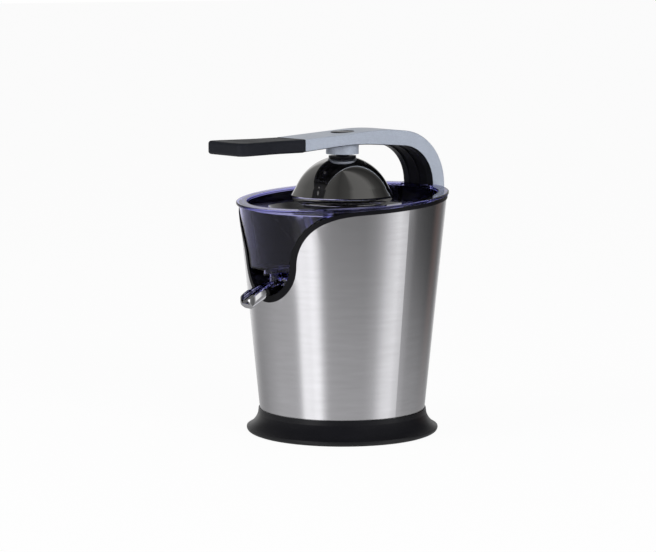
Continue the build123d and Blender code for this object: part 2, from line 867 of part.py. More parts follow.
with BuildPart() as motor_stator:
    with Locations((0, motor_y, motor_bottom + stator_inset)):
        stator_length = motor_height - motor_top_plate - 2 * stator_inset
        Cylinder(motor_inner_r, stator_length, align=ON_FLOOR)
        Cylinder(stator_inner_r, stator_length, align=ON_FLOOR, mode=Mode.SUBTRACT)

with BuildPart() as motor_bushes:
    with Locations((0, motor_y, cap_bottom)):
        Cylinder(motor_bush_r, motor_bush_length, align=ON_FLOOR)
    with Locations((0, motor_y, gear_plate_top)):
        Cylinder(motor_bush_r, motor_bush_length + gear_plate_thickness, align=FROM_TOP)
    with Locations((0, motor_y, cap_bottom)):
        Cylinder(motor_shaft_r + running_gap, far, align=ON_FLOOR, mode=Mode.SUBTRACT)

with BuildPart() as motor_rotor:
    with Locations((0, motor_y, motor_bottom + rotor_inset)):
        rotor_length = motor_height - motor_top_plate - 2 * rotor_inset
        Cylinder(stator_inner_r - rotor_gap, rotor_length, align=ON_FLOOR)
    with Locations((0, motor_y, cap_bottom + motor_shaft_end)):
        shaft_length = wheel_bottom + motor_pinion_face - cap_bottom - motor_shaft_end
        Cylinder(motor_shaft_r, shaft_length, align=ON_FLOOR)

# Drive shaft: slides down a little under load and works the switch
with BuildPart() as drive_shaft:
    with Locations((0, 0, shaft_bottom)):
        Cylinder(shaft_r, shaft_top - shaft_bottom, align=ON_FLOOR)

with BuildPart() as upper_bush:
    with Locations((0, 0, bush_bottom)):
        Cylinder(bush_r, shaft_bush_length, align=ON_FLOOR)
        Cylinder(shaft_r + running_gap, shaft_bush_length, align=ON_FLOOR, mode=Mode.SUBTRACT)

with BuildPart() as shaft_seal:
    with Locations((0, 0, tower_top)):
        Cylinder(seal_r, seal_height, align=FROM_TOP)
        Cylinder(shaft_r + running_gap, seal_height, align=FROM_TOP, mode=Mode.SUBTRACT)

with BuildPart() as lower_bush:
    with Locations((0, 0, gear_plate_top)):
        Cylinder(bush_r, lower_bush_length - lower_bush_flange, align=FROM_TOP)
        Cylinder(bush_r + lower_bush_flange_wall, lower_bush_flange, align=ON_FLOOR)
        Cylinder(shaft_r + running_gap, far, mode=Mode.SUBTRACT)

# Thrust cup: carries the shaft on the return spring, with a tab over the switch
cup_bottom = shaft_bottom - cup_floor
spring_floor = spring_seat + switch_bracket_sheet
with BuildPart() as thrust_cup:
    with Locations((0, 0, cup_bottom)):
        Cylinder(cup_r, cup_floor + cup_grip, align=ON_FLOOR)
        Box(
            cup_tab_width,
            switch_y + cup_tab_end,
            cup_tab_thickness,
            align=(Align.CENTER, Align.MAX, Align.MIN),
        )
    with Locations((0, 0, shaft_bottom)):
        Cylinder(shaft_r + running_gap, cup_grip, align=ON_FLOOR, mode=Mode.SUBTRACT)

with BuildPart() as shaft_spring:
    add(coil_spring(spring_r, spring_wire, spring_turns, spring_floor, cup_bottom))

# Spring bracket: a sheet stirrup under the gear plate that carries the spring and the switch
bracket_end_y = switch_y + switch_depth / 2 + switch_bracket_margin
with BuildPart() as switch_bracket:
    with Locations((0, switch_bracket_half_width, spring_seat)):
        Box(
            2 * switch_bracket_half_length,
            switch_bracket_half_width + bracket_end_y,
            switch_bracket_sheet,
            align=(Align.CENTER, Align.MAX, Align.MIN),
        )
    for side in (-1, 1):
        with Locations((side * (switch_bracket_half_length - switch_bracket_sheet / 2), 0, spring_seat)):
            Box(
                switch_bracket_sheet,
                2 * switch_bracket_half_width,
                gear_plate_bottom - spring_seat,
                align=ON_FLOOR,
            )
        with Locations((side * bracket_foot_x, 0, gear_plate_bottom)):
            Box(switch_bracket_foot, 2 * switch_bracket_half_width, switch_bracket_sheet, align=FROM_TOP)
            Cylinder(screw_r + running_gap, switch_bracket_sheet, align=FROM_TOP, mode=Mode.SUBTRACT)

with BuildPart() as micro_switch:
    with Locations((0, -switch_y, spring_floor)):
        Box(switch_width, switch_depth, switch_top - spring_floor, align=ON_FLOOR)
    with Locations((0, -switch_y, switch_top)):
        Cylinder(
            plunger_r + running_gap,
            plunger_depth + press_travel + plunger_spare,
            align=FROM_TOP,
            mode=Mode.SUBTRACT,
        )

with BuildPart() as switch_plunger:
    with Locations((0, -switch_y, switch_top - plunger_depth)):
        Cylinder(plunger_r, cup_bottom - switch_top + plunger_depth, align=ON_FLOOR)

# Juice bowl: clear, with a flange, a bay that fills the front opening, a chimney and an outlet
bay_half_width = opening_half_width - trim_width - bay_gap
bay_top = rim_bottom - shell_top
ledge_r_in = bowl_r - bowl_ledge_width
bowl_floor_r = ledge_r_in - bowl_lower_taper
chimney_outer_r = chimney_r + bowl_wall
rim_under_plane = rim_plane.offset(-rim_thickness)

bay_outside = bay_solid(bay_gap, bay_half_width, bay_top, bay_floor, bay_back_y - bay_step, rim_plane)
bay_inside = bay_solid(
    bay_gap + bowl_wall,
    bay_half_width - bowl_wall,
    bay_top + bowl_wall,
    bay_floor + bowl_wall,
    bay_back_y,
    rim_under_plane,
)

with BuildPart() as juice_bowl:
    revolve(
        upright_profile(
            (0, bowl_floor - bowl_wall),
            (bowl_floor_r + bowl_wall, bowl_floor - bowl_wall),
            (ledge_r_in + bowl_wall, bowl_ledge - bowl_wall),
            (bowl_r + bowl_wall, bowl_ledge - bowl_wall),
            (bowl_r + bowl_wall, wall_top),
            (0, wall_top),
        ),
        axis=Axis.Z,
    )
    split(bisect_by=rim_plane, keep=Keep.BOTTOM)
    add(bay_outside)
    with BuildSketch(rim_plane):
        Circle(rim_r)
    extrude(amount=-rim_thickness)
    fillet(edges().filter_by(GeomType.CIRCLE).group_by(SortBy.RADIUS)[-1], rim_edge_r)
    with Locations((0, -outlet_y, bay_floor)):
        Cylinder(outlet_cup_r, bay_floor - outlet_cup_bottom, align=FROM_TOP)
        Cylinder(outlet_tube_r, bay_floor - outlet_tube_bottom, align=FROM_TOP)
    revolve(
        upright_profile(
            (0, chimney_top),
            (chimney_outer_r, chimney_top),
            (chimney_outer_r, bowl_floor),
            (bowl_floor_r, bowl_floor),
            (ledge_r_in, bowl_ledge),
            (bowl_r, bowl_ledge),
            (bowl_r, wall_top),
            (0, wall_top),
        ),
        axis=Axis.Z,
        mode=Mode.SUBTRACT,
    )
    add(bay_inside, mode=Mode.SUBTRACT)
    with Locations((0, 0, bowl_floor)):
        Cylinder(chimney_r, 2 * (chimney_top - bowl_floor) + overrun, mode=Mode.SUBTRACT)
    with Locations((0, -outlet_y, outlet_cup_bottom + bowl_wall)):
        Cylinder(outlet_cup_r - bowl_wall, bay_floor - outlet_cup_bottom, align=ON_FLOOR, mode=Mode.SUBTRACT)
    with Locations((0, -outlet_y, outlet_tube_bottom)):
        Cylinder(outlet_bore_r, bay_floor - outlet_tube_bottom, align=ON_FLOOR, mode=Mode.SUBTRACT)
    with Locations((0, bowl_notch_y, bowl_ledge)):
        Box(2 * bowl_notch_half_width, far, far, align=FROM_FRONT, mode=Mode.SUBTRACT)

# Strainer: a perforated sheet dish that hangs on the bowl's ledge
strainer_flange_r = bowl_r - strainer_flange_gap
strainer_flange_inner_r = strainer_flange_r - strainer_flange_width
half_sheet = strainer_sheet / 2
collar_top = strainer_floor + strainer_collar_height
with BuildPart() as strainer:
    revolve(
        upright_profile(
            (strainer_flange_r, bowl_ledge),
            (strainer_flange_inner_r + half_sheet, bowl_ledge),
            (strainer_floor_r + half_sheet, strainer_floor),
            (strainer_collar_r - strainer_sheet, strainer_floor),
            (strainer_collar_r - strainer_sheet, collar_top),
            (strainer_collar_r, collar_top),
            (strainer_collar_r, strainer_floor + strainer_sheet),
            (strainer_floor_r, strainer_floor + strainer_sheet),
            (strainer_flange_inner_r, bowl_ledge + strainer_sheet),
            (strainer_flange_r, bowl_ledge + strainer_sheet),
        ),
        axis=Axis.Z,
    )
    with BuildSketch(Plane.XY.offset(strainer_floor)):
        with PolarLocations(strainer_slot_r, strainer_slot_count):
            SlotOverall(strainer_slot_length, strainer_slot_width)
    extrude(amount=strainer_sheet, mode=Mode.SUBTRACT)

# Reamer: a ribbed cone on the shaft, hollow underneath round its hub
nose_drop = reamer_nose_share * reamer_nose_r
nose_z = reamer_top - nose_drop
bulge_r = (reamer_r + reamer_nose_r) / 2
bulge_z = reamer_shoulder + reamer_bulge_share * (nose_z - reamer_shoulder)
rib_bulge_z = bulge_z + reamer_rib_height
rib_end_z = reamer_shoulder + reamer_rib_height
rib_end_r = reamer_r - reamer_rib_inset

with BuildPart() as reamer_rib:
    with BuildSketch(Plane.XZ):
        with BuildLine():
            ThreePointArc((0, nose_z), (bulge_r, rib_bulge_z), (rib_end_r, rib_end_z))
            Polyline((rib_end_r, rib_end_z), (rib_end_r, reamer_shoulder), (0, reamer_shoulder), (0, nose_z))
        make_face()
    extrude(amount=reamer_rib_width / 2, both=True)

with BuildPart() as reamer:
    with BuildSketch(Plane.XZ):
        with BuildLine():
            Polyline((0, reamer_bottom), (reamer_r, reamer_bottom), (reamer_r, reamer_shoulder))
            ThreePointArc((reamer_r, reamer_shoulder), (bulge_r, bulge_z), (reamer_nose_r, nose_z))
            TangentArc((0, reamer_top), (reamer_nose_r, nose_z), tangent=(1, 0))
            Line((0, reamer_top), (0, reamer_bottom))
        make_face()
    revolve(axis=Axis.Z)
    with PolarLocations(0, reamer_rib_count):
        add(reamer_rib.part)
    revolve(
        upright_profile(
            (0, reamer_bottom),
            (reamer_r - reamer_wall, reamer_bottom),
            (reamer_r - reamer_wall, reamer_shoulder - reamer_wall),
            (reamer_hub_r, reamer_top - 3 * reamer_wall),
            (0, reamer_top - 3 * reamer_wall),
        ),
        axis=Axis.Z,
        mode=Mode.SUBTRACT,
    )
    with Locations((0, 0, reamer_hub_bottom)):
        Cylinder(reamer_hub_r, reamer_top - 3 * reamer_wall - reamer_hub_bottom, align=ON_FLOOR)
        Cylinder(shaft_r, shaft_top - reamer_hub_bottom, align=ON_FLOOR, mode=Mode.SUBTRACT)

# Spout: a polished trough that tips up on its pin to stop the flow
keel_share = (spout_chin_drop - spout_tail_drop) / (spout_chin_reach - spout_tail_reach)
keel_angle = atan(keel_share)


def spout_form(inset, raised, start):
    """The trough inside an inset from its underside, sides and nose, from a start at the pin's side."""
    half_width = spout_half_width - inset
    tail = max(start, spout_tail_reach)
    tail_z = spout_pin_z - spout_tail_drop - keel_share * (tail - spout_tail_reach) + inset
    tip_y = -spout_pin_y - spout_tip_reach + inset
    tip_z = spout_pin_z - spout_tip_drop
    nose = [(tip_y, tip_z + raised), (tip_y, tip_z - inset)] if raised else [(tip_y, tip_z)]
    with BuildPart() as form:
        with BuildSketch(Plane.YZ.offset(-half_width)):
            with BuildLine():
                Polyline(
                    (-spout_pin_y - start, spout_pin_z + raised),
                    (-spout_pin_y - spout_brow_reach, spout_pin_z - spout_brow_drop + raised),
                    *nose,
                    (-spout_pin_y - spout_chin_reach + inset, spout_pin_z - spout_chin_drop + inset),
                    (-spout_pin_y - tail, tail_z),
                    close=True,
                )
            make_face()
        extrude(amount=2 * half_width)
        keel_plane = Plane(
            origin=(0, -spout_pin_y - tail, tail_z),
            x_dir=(1, 0, 0),
            z_dir=(0, -cos(keel_angle), -sin(keel_angle)),
        )
        with BuildSketch(keel_plane):
            RectangleRounded(2 * half_width, far, spout_keel_r - inset, align=(Align.CENTER, Align.MIN))
        extrude(amount=far, both=True, mode=Mode.INTERSECT)
        with BuildSketch():
            with Locations((0, tip_y)):
                RectangleRounded(2 * half_width, far, spout_nose_r - inset, align=(Align.CENTER, Align.MIN))
        extrude(amount=far, mode=Mode.INTERSECT)
    return form.part


with BuildPart() as spout:
    add(spout_form(0, 0, spout_tail_reach))
    with Locations(along_x(-spout_pin_y, spout_pin_z)):
        Cylinder(spout_barrel_r, 2 * spout_half_width)
    add(spout_form(spout_wall, spout_keel_r, spout_barrel_r + spout_wall), mode=Mode.SUBTRACT)
    with BuildSketch(Plane.YZ.offset(-spout_half_width)):
        with BuildLine():
            Polyline(
                (-spout_pin_y, spout_pin_z - spout_barrel_r),
                (-spout_pin_y, spout_pin_z - spout_barrel_r + spout_wall),
                (-spout_pin_y - spout_tail_reach - spout_wall, spout_pin_z - spout_tail_drop + spout_wall),
                (-spout_pin_y - spout_tail_reach - spout_wall, spout_pin_z - spout_tail_drop),
                close=True,
            )
        make_face()
    extrude(amount=2 * spout_half_width)
    with Locations((0, -spout_pin_y - spout_tip_reach, spout_pin_z - spout_tip_drop - spout_lip)):
        Box(
            2 * spout_mouth_half_width,
            2 * (spout_tip_reach - spout_chin_reach),
            far,
            align=ON_FLOOR,
            mode=Mode.SUBTRACT,
        )
    with Locations(along_x(-spout_pin_y, spout_pin_z)):
        Cylinder(spout_pin_r + running_gap, 2 * spout_half_width, mode=Mode.SUBTRACT)

with BuildPart() as spout_pin:
    with Locations(along_x(-spout_pin_y, spout_pin_z)):
        Cylinder(spout_pin_r, spout_pin_length)

# Side outline of the lever arm
arm_top = [
    (-arm_front_y, arm_front_top),
    (arm_crest_y, arm_crest_top),
    (arm_bend_y, arm_bend_top),
    (pivot_y + pivot_eye_r, pivot_z),
]
arm_under = [
    (-arm_front_y, arm_front_under),
    (under_crest_y, under_crest),
    (under_bend_y, under_bend),
    (pivot_y - pivot_eye_r - heel_inset, pivot_z + heel_height),
    (pivot_y - pivot_eye_r, pivot_z),
]


def shifted(corners, distance):
    """The corners of a run of straight lines moved outwards, to the left of its direction."""
    normals = []
    for (y1, z1), (y2, z2) in zip(corners, corners[1:]):
        length = hypot(y2 - y1, z2 - z1)
        normals.append(((z1 - z2) / length, (y2 - y1) / length))
    moved = []
    for (y, z), before, after in zip(corners, normals[:1] + normals, normals + normals[-1:]):
        share = distance / (1 + before[0] * after[0] + before[1] * after[1])
        moved.append((y + share * (before[0] + after[0]), z + share * (before[1] + after[1])))
    return moved


def run_height(first, last, y):
    """Height of a straight run above y."""
    return first[1] + (last[1] - first[1]) * (y - first[0]) / (last[0] - first[0])


def line_height(corners, y):
    """Height above y of the two runs that meet at the crest."""
    return min(run_height(corners[0], corners[1], y), run_height(corners[1], corners[2], y))


def under_radii(distance):
    """Radii of the bends at a distance above the arm's underside."""
    return (under_crest_r + distance, under_bend_r + distance, heel_r + distance)


def crest_height(corners, radius, y):
    """Height above y of the two runs and the arc that rounds off the crest between them."""
    (y1, z1), (y2, z2), (y3, z3) = corners[:3]
    rise = atan2(z2 - z1, y2 - y1)
    fall = atan2(z2 - z3, y3 - y2)
    reach = radius * tan((rise + fall) / 2)
    if y < y2 - reach * cos(rise) or y > y2 + reach * cos(fall):
        return line_height(corners, y)
    centre_y = y2 - reach * cos(rise) + radius * sin(rise)
    centre_z = z2 - reach * sin(rise) - radius * cos(rise)
    return centre_z + sqrt(radius**2 - (y - centre_y) ** 2)


# Lever arm: a bent channel with two cheeks that hang on the hinge pin and a tang for the grip
channel_front = -arm_front_y + arm_front_wall
channel_top = shifted(arm_top, -arm_skin)
channel_top[0] = (channel_front, run_height(channel_top[0], channel_top[1], channel_front))
channel_low = pivot_z - pivot_eye_r - overrun
liner_top = liner_recess + liner_thickness
tang_back = -arm_front_y + tang_root
grip_back = -arm_front_y - tang_gap
grip_bottom = grip_top - grip_thickness
grip_screw_ys = [grip_back - share * grip_length for share in grip_screw_shares]
grip_screw_seat = grip_bottom + screw_head
button_bore_r = button_r + button_gap

with BuildPart() as lever_arm:
    with BuildSketch(Plane.YZ.offset(-arm_half_width)):
        with BuildLine():
            top_line = FilletPolyline(*arm_top, radius=(arm_crest_r, arm_bend_r))
            under_line = FilletPolyline(*arm_under, radius=under_radii(0))
            Line(top_line @ 0, under_line @ 0)
            ThreePointArc(top_line @ 1, (pivot_y, pivot_z - pivot_eye_r), under_line @ 1)
        make_face()
    extrude(amount=2 * arm_half_width)
    side_faces = faces().filter_by(Axis.X)
    fillet([e for e in side_faces.edges() if e.center().Y > channel_front], arm_edge_r)
    with BuildSketch(Plane.YZ.offset(-channel_half_width)):
        with BuildLine():
            roof = FilletPolyline(*channel_top, radius=(arm_crest_r - arm_skin, arm_bend_r - arm_skin))
            Polyline(roof @ 1, (channel_top[-1][0], channel_low), (channel_front, channel_low), roof @ 0)
        make_face()
    extrude(amount=2 * channel_half_width, mode=Mode.SUBTRACT)
    with Locations((0, pivot_y, pivot_z + ear_r + back_wall_clearance)):
        Box(2 * channel_half_width, far, far, align=FROM_TOP, mode=Mode.SUBTRACT)
    for y in liner_screw_ys:
        boss_low = line_height(arm_under, y) + liner_top + liner_boss_gap
        boss_high = line_height(arm_top, y) - arm_skin / 2
        with Locations((0, y, boss_low)):
            Cylinder(liner_boss_r, boss_high - boss_low, align=ON_FLOOR)
            Cylinder(
                screw_r,
                short_screw_length - liner_thickness - liner_boss_gap + liner_screw_seat,
                align=ON_FLOOR,
                mode=Mode.SUBTRACT,
            )
    with Locations((0, tang_back, tang_bottom)):
        Box(
            2 * tang_half_width,
            tang_length + tang_root,
            tang_thickness,
            align=(Align.CENTER, Align.MAX, Align.MIN),
        )
    with Locations(*[(0, y, grip_screw_seat) for y in grip_screw_ys]):
        Cylinder(screw_r, short_screw_length, align=ON_FLOOR, mode=Mode.SUBTRACT)
    with Locations((0, 0, socket_top)):
        Cylinder(button_bore_r, far, align=ON_FLOOR, mode=Mode.SUBTRACT)
    with Locations(along_x(pivot_y, pivot_z)):
        Cylinder(pivot_pin_r, far, mode=Mode.SUBTRACT)

with BuildPart() as hinge_pin:
    with Locations(along_x(pivot_y, pivot_z)):
        Cylinder(pivot_pin_r, 2 * (arm_half_width - pin_end_inset))



def liner_band(low, high):
    """Side view of a strip between two distances above the arm's underside."""
    with BuildSketch(Plane.YZ) as band:
        with BuildLine():
            low_line = FilletPolyline(*shifted(arm_under, low), radius=under_radii(low))
            high_line = FilletPolyline(*shifted(arm_under, high), radius=under_radii(high))
            Line(low_line @ 0, high_line @ 0)
            Line(low_line @ 1, high_line @ 1)
        make_face()
    return band.sketch


# Lever liner: the black strip that closes the underside of the arm, with a ridge along its middle
liner_half_width = channel_half_width - liner_gap
liner_front = channel_front + liner_gap
with BuildPart() as lever_liner:
    extrude(liner_band(liner_recess, liner_top), amount=liner_half_width, both=True)
    extrude(
        liner_band(liner_recess - liner_ridge_height, liner_recess),
        amount=liner_ridge_width / 2,
        both=True,
    )
    with Locations((0, liner_front, liner_foot)):
        Box(2 * arm_half_width, far, far, align=FROM_FRONT, mode=Mode.INTERSECT)
    with Locations((0, 0, socket_top)):
        Cylinder(socket_spigot_r, far, mode=Mode.SUBTRACT)
    for y in liner_screw_ys:
        with Locations((0, y, line_height(arm_under, y) + liner_recess + liner_screw_seat)):
            Cylinder(screw_r + running_gap, far, mode=Mode.SUBTRACT)
            Cylinder(screw_head_r + fit_gap, far, align=FROM_TOP, mode=Mode.SUBTRACT)

with BuildPart() as liner_screws:
    for y in liner_screw_ys:
        seat_z = line_height(arm_under, y) + liner_recess + liner_screw_seat
        with Locations(Location((0, y, seat_z), (180, 0, 0))):
            add(short_screw)

# Grip: a dark handle with rounded corners that slides on the tang and is screwed from below
grip_waist = (grip_waist_half_width, -grip_waist_share * grip_length)
with BuildPart() as grip:
    with BuildSketch(Plane((0, grip_back, grip_bottom))):
        with BuildLine():
            Spline(
                (arm_half_width, 0), grip_waist, (grip_half_width, -grip_length), tangents=((0, -1), (0, -1))
            )
            Spline(
                (-arm_half_width, 0),
                (-grip_waist[0], grip_waist[1]),
                (-grip_half_width, -grip_length),
                tangents=((0, -1), (0, -1)),
            )
            Line((arm_half_width, 0), (-arm_half_width, 0))
            Line((grip_half_width, -grip_length), (-grip_half_width, -grip_length))
        make_face()
        fillet(vertices().group_by(Axis.Y)[0], grip_corner_r)
    extrude(amount=grip_thickness)
    fillet(faces().sort_by(Axis.Z)[0].edges() + faces().sort_by(Axis.Z)[-1].edges(), grip_edge_r)
    with Locations((0, grip_back, tang_bottom - tang_gap)):
        Box(
            2 * (tang_half_width + tang_gap),
            tang_length,
            tang_thickness + 2 * tang_gap,
            align=(Align.CENTER, Align.MAX, Align.MIN),
            mode=Mode.SUBTRACT,
        )
    with Locations(*[(0, y, grip_screw_seat) for y in grip_screw_ys]):
        Cylinder(screw_r + running_gap, tang_bottom - grip_screw_seat, align=ON_FLOOR, mode=Mode.SUBTRACT)
        Cylinder(screw_head_r + fit_gap, far, align=FROM_TOP, mode=Mode.SUBTRACT)

with BuildPart() as grip_screws:
    with Locations(*[Location((0, y, grip_screw_seat), (180, 0, 0)) for y in grip_screw_ys]):
        add(short_screw)

# Dome socket: seated under the arm's cheeks, with its spigot pressed through the liner
socket_shoulder = crest_height(arm_under, under_crest_r, socket_r / 2) - seat_gap
dome_pin_end = socket_r - dome_pin_cover
with BuildPart() as dome_socket:
    with Locations((0, 0, socket_bottom)):
        Cylinder(socket_r, socket_shoulder - socket_bottom, align=ON_FLOOR)
        Cylinder(socket_spigot_r, socket_top - socket_bottom, align=ON_FLOOR)
        Cylinder(socket_bore_r, socket_bore_top - socket_bottom, align=ON_FLOOR, mode=Mode.SUBTRACT)
        Cylinder(button_stem_r + button_gap, far, align=ON_FLOOR, mode=Mode.SUBTRACT)
    with Locations(Location((dome_pin_end, 0, dome_pin_z), (0, -90, 0))):
        Cylinder(dome_pin_r, far, align=ON_FLOOR, mode=Mode.SUBTRACT)

with BuildPart() as dome_pin:
    with Locations(Location((dome_pin_end, 0, dome_pin_z), (0, -90, 0))):
        Cylinder(dome_pin_r, dome_pin_end + socket_r - pin_end_inset, align=ON_FLOOR)

# Dome stem: black neck on the dome, with a stem that tilts on the cross pin
with BuildPart() as dome_stem:
    with Locations((0, 0, dome_centre)):
        Cylinder(neck_r, neck_top - dome_centre, align=ON_FLOOR)
        Sphere(dome_r, mode=Mode.SUBTRACT)
    with Locations((0, 0, stem_bottom)):
        Cylinder(stem_thread_r, neck_top - stem_bottom, align=ON_FLOOR)
    with Locations((0, 0, neck_top)):
        Cylinder(stem_r, stem_top - neck_top, align=ON_FLOOR)
    with Locations(along_x(0, dome_pin_z)):
        Cylinder(dome_pin_r + running_gap, far, mode=Mode.SUBTRACT)


def dome_form(inset, low):
    """Solid inside an inset from the dome's skin: a cap, a flare and a turned-in lip, down to a height."""
    cap_r = dome_r - inset
    flare_r = sqrt(cap_r**2 - (dome_flare_top - dome_centre) ** 2)
    half_turn = atan2(dome_flare_top - dome_centre, flare_r) / 2 + pi / 4
    round_r = dome_lip_round - inset
    lip_turn = radians(dome_lip_turn)
    round_x = dome_lip_r - dome_lip_round
    end = (round_x + round_r * cos(lip_turn), dome_lip - round_r * sin(lip_turn))
    with BuildPart() as form:
        with BuildSketch(Plane.XZ):
            with BuildLine():
                ThreePointArc(
                    (0, dome_centre + cap_r),
                    (cap_r * cos(half_turn), dome_centre + cap_r * sin(half_turn)),
                    (flare_r, dome_flare_top),
                )
                Line((flare_r, dome_flare_top), (dome_lip_r - inset, dome_lip))
                ThreePointArc(
                    (dome_lip_r - inset, dome_lip),
                    (round_x + round_r * cos(lip_turn / 2), dome_lip - round_r * sin(lip_turn / 2)),
                    end,
                )
                Polyline(end, (end[0], low), (0, low), (0, dome_centre + cap_r))
            make_face()
        revolve(axis=Axis.Z)
    return form.part


# Press dome: a polished shell with a turned-in lip, open below
dome_inner_r = dome_r - dome_wall
dome_bottom = dome_lip - dome_lip_round
with BuildPart() as press_dome:
    add(dome_form(0, dome_bottom))
    add(dome_form(dome_wall, dome_bottom), mode=Mode.SUBTRACT)
    with Locations((0, 0, dome_centre)):
        Cylinder(stem_thread_r, far, mode=Mode.SUBTRACT)

nut_top = dome_centre + sqrt(dome_inner_r**2 - nut_r**2) - running_gap
with BuildPart() as dome_nut:
    with BuildSketch(Plane.XY.offset(nut_top)):
        RegularPolygon(nut_r, 6)
        Circle(stem_thread_r, mode=Mode.SUBTRACT)
    extrude(amount=-nut_height)

# Release button: a round cap in the top of the arm, on its own spring
button_top = crest_height(arm_top, arm_crest_r, 0) + button_proud
button_bottom = button_top - button_height
with BuildPart() as release_button:
    with Locations((0, 0, button_top)):
        Cylinder(button_r, button_height, align=FROM_TOP)
        fillet(edges().group_by(Axis.Z)[-1], button_edge_r)
        Cylinder(button_stem_r, button_top - button_stem_bottom, align=FROM_TOP)

with BuildPart() as button_spring:
    add(coil_spring(button_spring_r, button_spring_wire, button_spring_turns, socket_top, button_bottom))

# One file for each piece
pieces = {
    "base_skirt": base_skirt,
    "foot_ring": foot_ring,
    "bottom_plate": bottom_plate,
    "base_screws": base_screws,
    "cord_gland": cord_gland,
    "steel_shell": steel_shell,
    "edge_trim": edge_trim,
    "inner_housing": inner_housing,
    "hinge_bracket": hinge_bracket,
    "bracket_screws": bracket_screws,
    "hinge_bushes": hinge_bushes,
    "gear_plate": gear_plate,
    "plate_screws": plate_screws,
    "drive_screws": drive_screws,
    "compound_axle": compound_axle,
    "compound_gear": compound_gear,
    "output_gear": output_gear,
    "motor_pinion": motor_pinion,
    "motor_can": motor_can,
    "motor_end": motor_end,
    "motor_stator": motor_stator,
    "motor_bushes": motor_bushes,
    "motor_rotor": motor_rotor,
    "drive_shaft": drive_shaft,
    "upper_bush": upper_bush,
    "shaft_seal": shaft_seal,
    "lower_bush": lower_bush,
    "thrust_cup": thrust_cup,
    "shaft_spring": shaft_spring,
    "switch_bracket": switch_bracket,
    "micro_switch": micro_switch,
    "switch_plunger": switch_plunger,
    "juice_bowl": juice_bowl,
    "strainer": strainer,
    "reamer": reamer,
    "spout": spout,
    "spout_pin": spout_pin,
    "lever_arm": lever_arm,
    "hinge_pin": hinge_pin,
    "lever_liner": lever_liner,
    "liner_screws": liner_screws,
    "grip": grip,
    "grip_screws": grip_screws,
    "dome_socket": dome_socket,
    "dome_pin": dome_pin,
    "dome_stem": dome_stem,
    "press_dome": press_dome,
    "dome_nut": dome_nut,
    "release_button": release_button,
    "button_spring": button_spring,
}
os.makedirs("parts", exist_ok=True)
for label, piece in pieces.items():
    piece.part.label = label
    export_step(piece.part, f"parts/{label}.step")
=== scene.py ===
import json
import math

import bmesh
import bpy
from mathutils import Matrix, Vector


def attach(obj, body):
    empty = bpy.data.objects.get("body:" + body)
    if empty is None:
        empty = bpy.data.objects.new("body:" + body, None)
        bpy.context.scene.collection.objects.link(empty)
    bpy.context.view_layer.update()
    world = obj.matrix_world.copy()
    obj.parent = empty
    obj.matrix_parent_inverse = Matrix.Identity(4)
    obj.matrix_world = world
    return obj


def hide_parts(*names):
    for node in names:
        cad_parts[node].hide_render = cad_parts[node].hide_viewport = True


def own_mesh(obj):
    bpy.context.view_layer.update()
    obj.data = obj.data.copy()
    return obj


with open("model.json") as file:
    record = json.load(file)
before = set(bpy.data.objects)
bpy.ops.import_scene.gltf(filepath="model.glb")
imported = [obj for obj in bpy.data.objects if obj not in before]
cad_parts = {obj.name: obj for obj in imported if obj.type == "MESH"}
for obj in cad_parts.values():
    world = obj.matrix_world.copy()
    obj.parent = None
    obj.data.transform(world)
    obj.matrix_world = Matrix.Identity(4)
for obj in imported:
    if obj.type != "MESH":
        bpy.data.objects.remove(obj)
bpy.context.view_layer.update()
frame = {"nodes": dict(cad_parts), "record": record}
nodes = frame["nodes"]
scene = bpy.context.scene


# Camera: where the photograph was taken from

AZIMUTH = math.radians(51.0)
CAMERA_DISTANCE = 2.4513
CAMERA_HEIGHT = 0.4492
CAMERA_PITCH = math.radians(6.997)
CAMERA_YAW = math.radians(-0.317)
CAMERA_LENS = 142.59
SENSOR_WIDTH = 36.0
FAR_LIMIT = 50.0


def place_camera():
    """The camera that the photograph was fitted to."""
    ahead = Vector((-math.sin(AZIMUTH), math.cos(AZIMUTH), 0))
    right = Vector((math.cos(AZIMUTH), math.sin(AZIMUTH), 0))
    up = Vector((0, 0, 1))
    level = math.cos(CAMERA_YAW) * ahead + math.sin(CAMERA_YAW) * right
    right = math.cos(CAMERA_YAW) * right - math.sin(CAMERA_YAW) * ahead
    forward = math.cos(CAMERA_PITCH) * level - math.sin(CAMERA_PITCH) * up
    above = math.cos(CAMERA_PITCH) * up + math.sin(CAMERA_PITCH) * level
    data = bpy.data.cameras.new("camera")
    data.lens = CAMERA_LENS
    data.sensor_width = SENSOR_WIDTH
    data.sensor_fit = "HORIZONTAL"
    data.clip_end = FAR_LIMIT
    camera = bpy.data.objects.new("camera", data)
    scene.collection.objects.link(camera)
    turn = Matrix((right, above, -forward)).transposed().to_4x4()
    place = Vector((CAMERA_DISTANCE * math.sin(AZIMUTH), -CAMERA_DISTANCE * math.cos(AZIMUTH), CAMERA_HEIGHT))
    camera.matrix_world = Matrix.Translation(place) @ turn
    scene.camera = camera


# Shader helpers


def add_node(tree, kind, **settings):
    """A node with its settings, in a tree."""
    made = tree.nodes.new(kind)
    for key, value in settings.items():
        setattr(made, key, value)
    return made


def math_node(tree, operation, first, second=None):
    """A Math node on links or numbers, and its result."""
    made = add_node(tree, "ShaderNodeMath", operation=operation)
    for socket, value in zip(made.inputs, (first, second)):
        if value is None:
            continue
        if isinstance(value, (int, float)):
            socket.default_value = value
        else:
            tree.links.new(value, socket)
    return made.outputs[0]


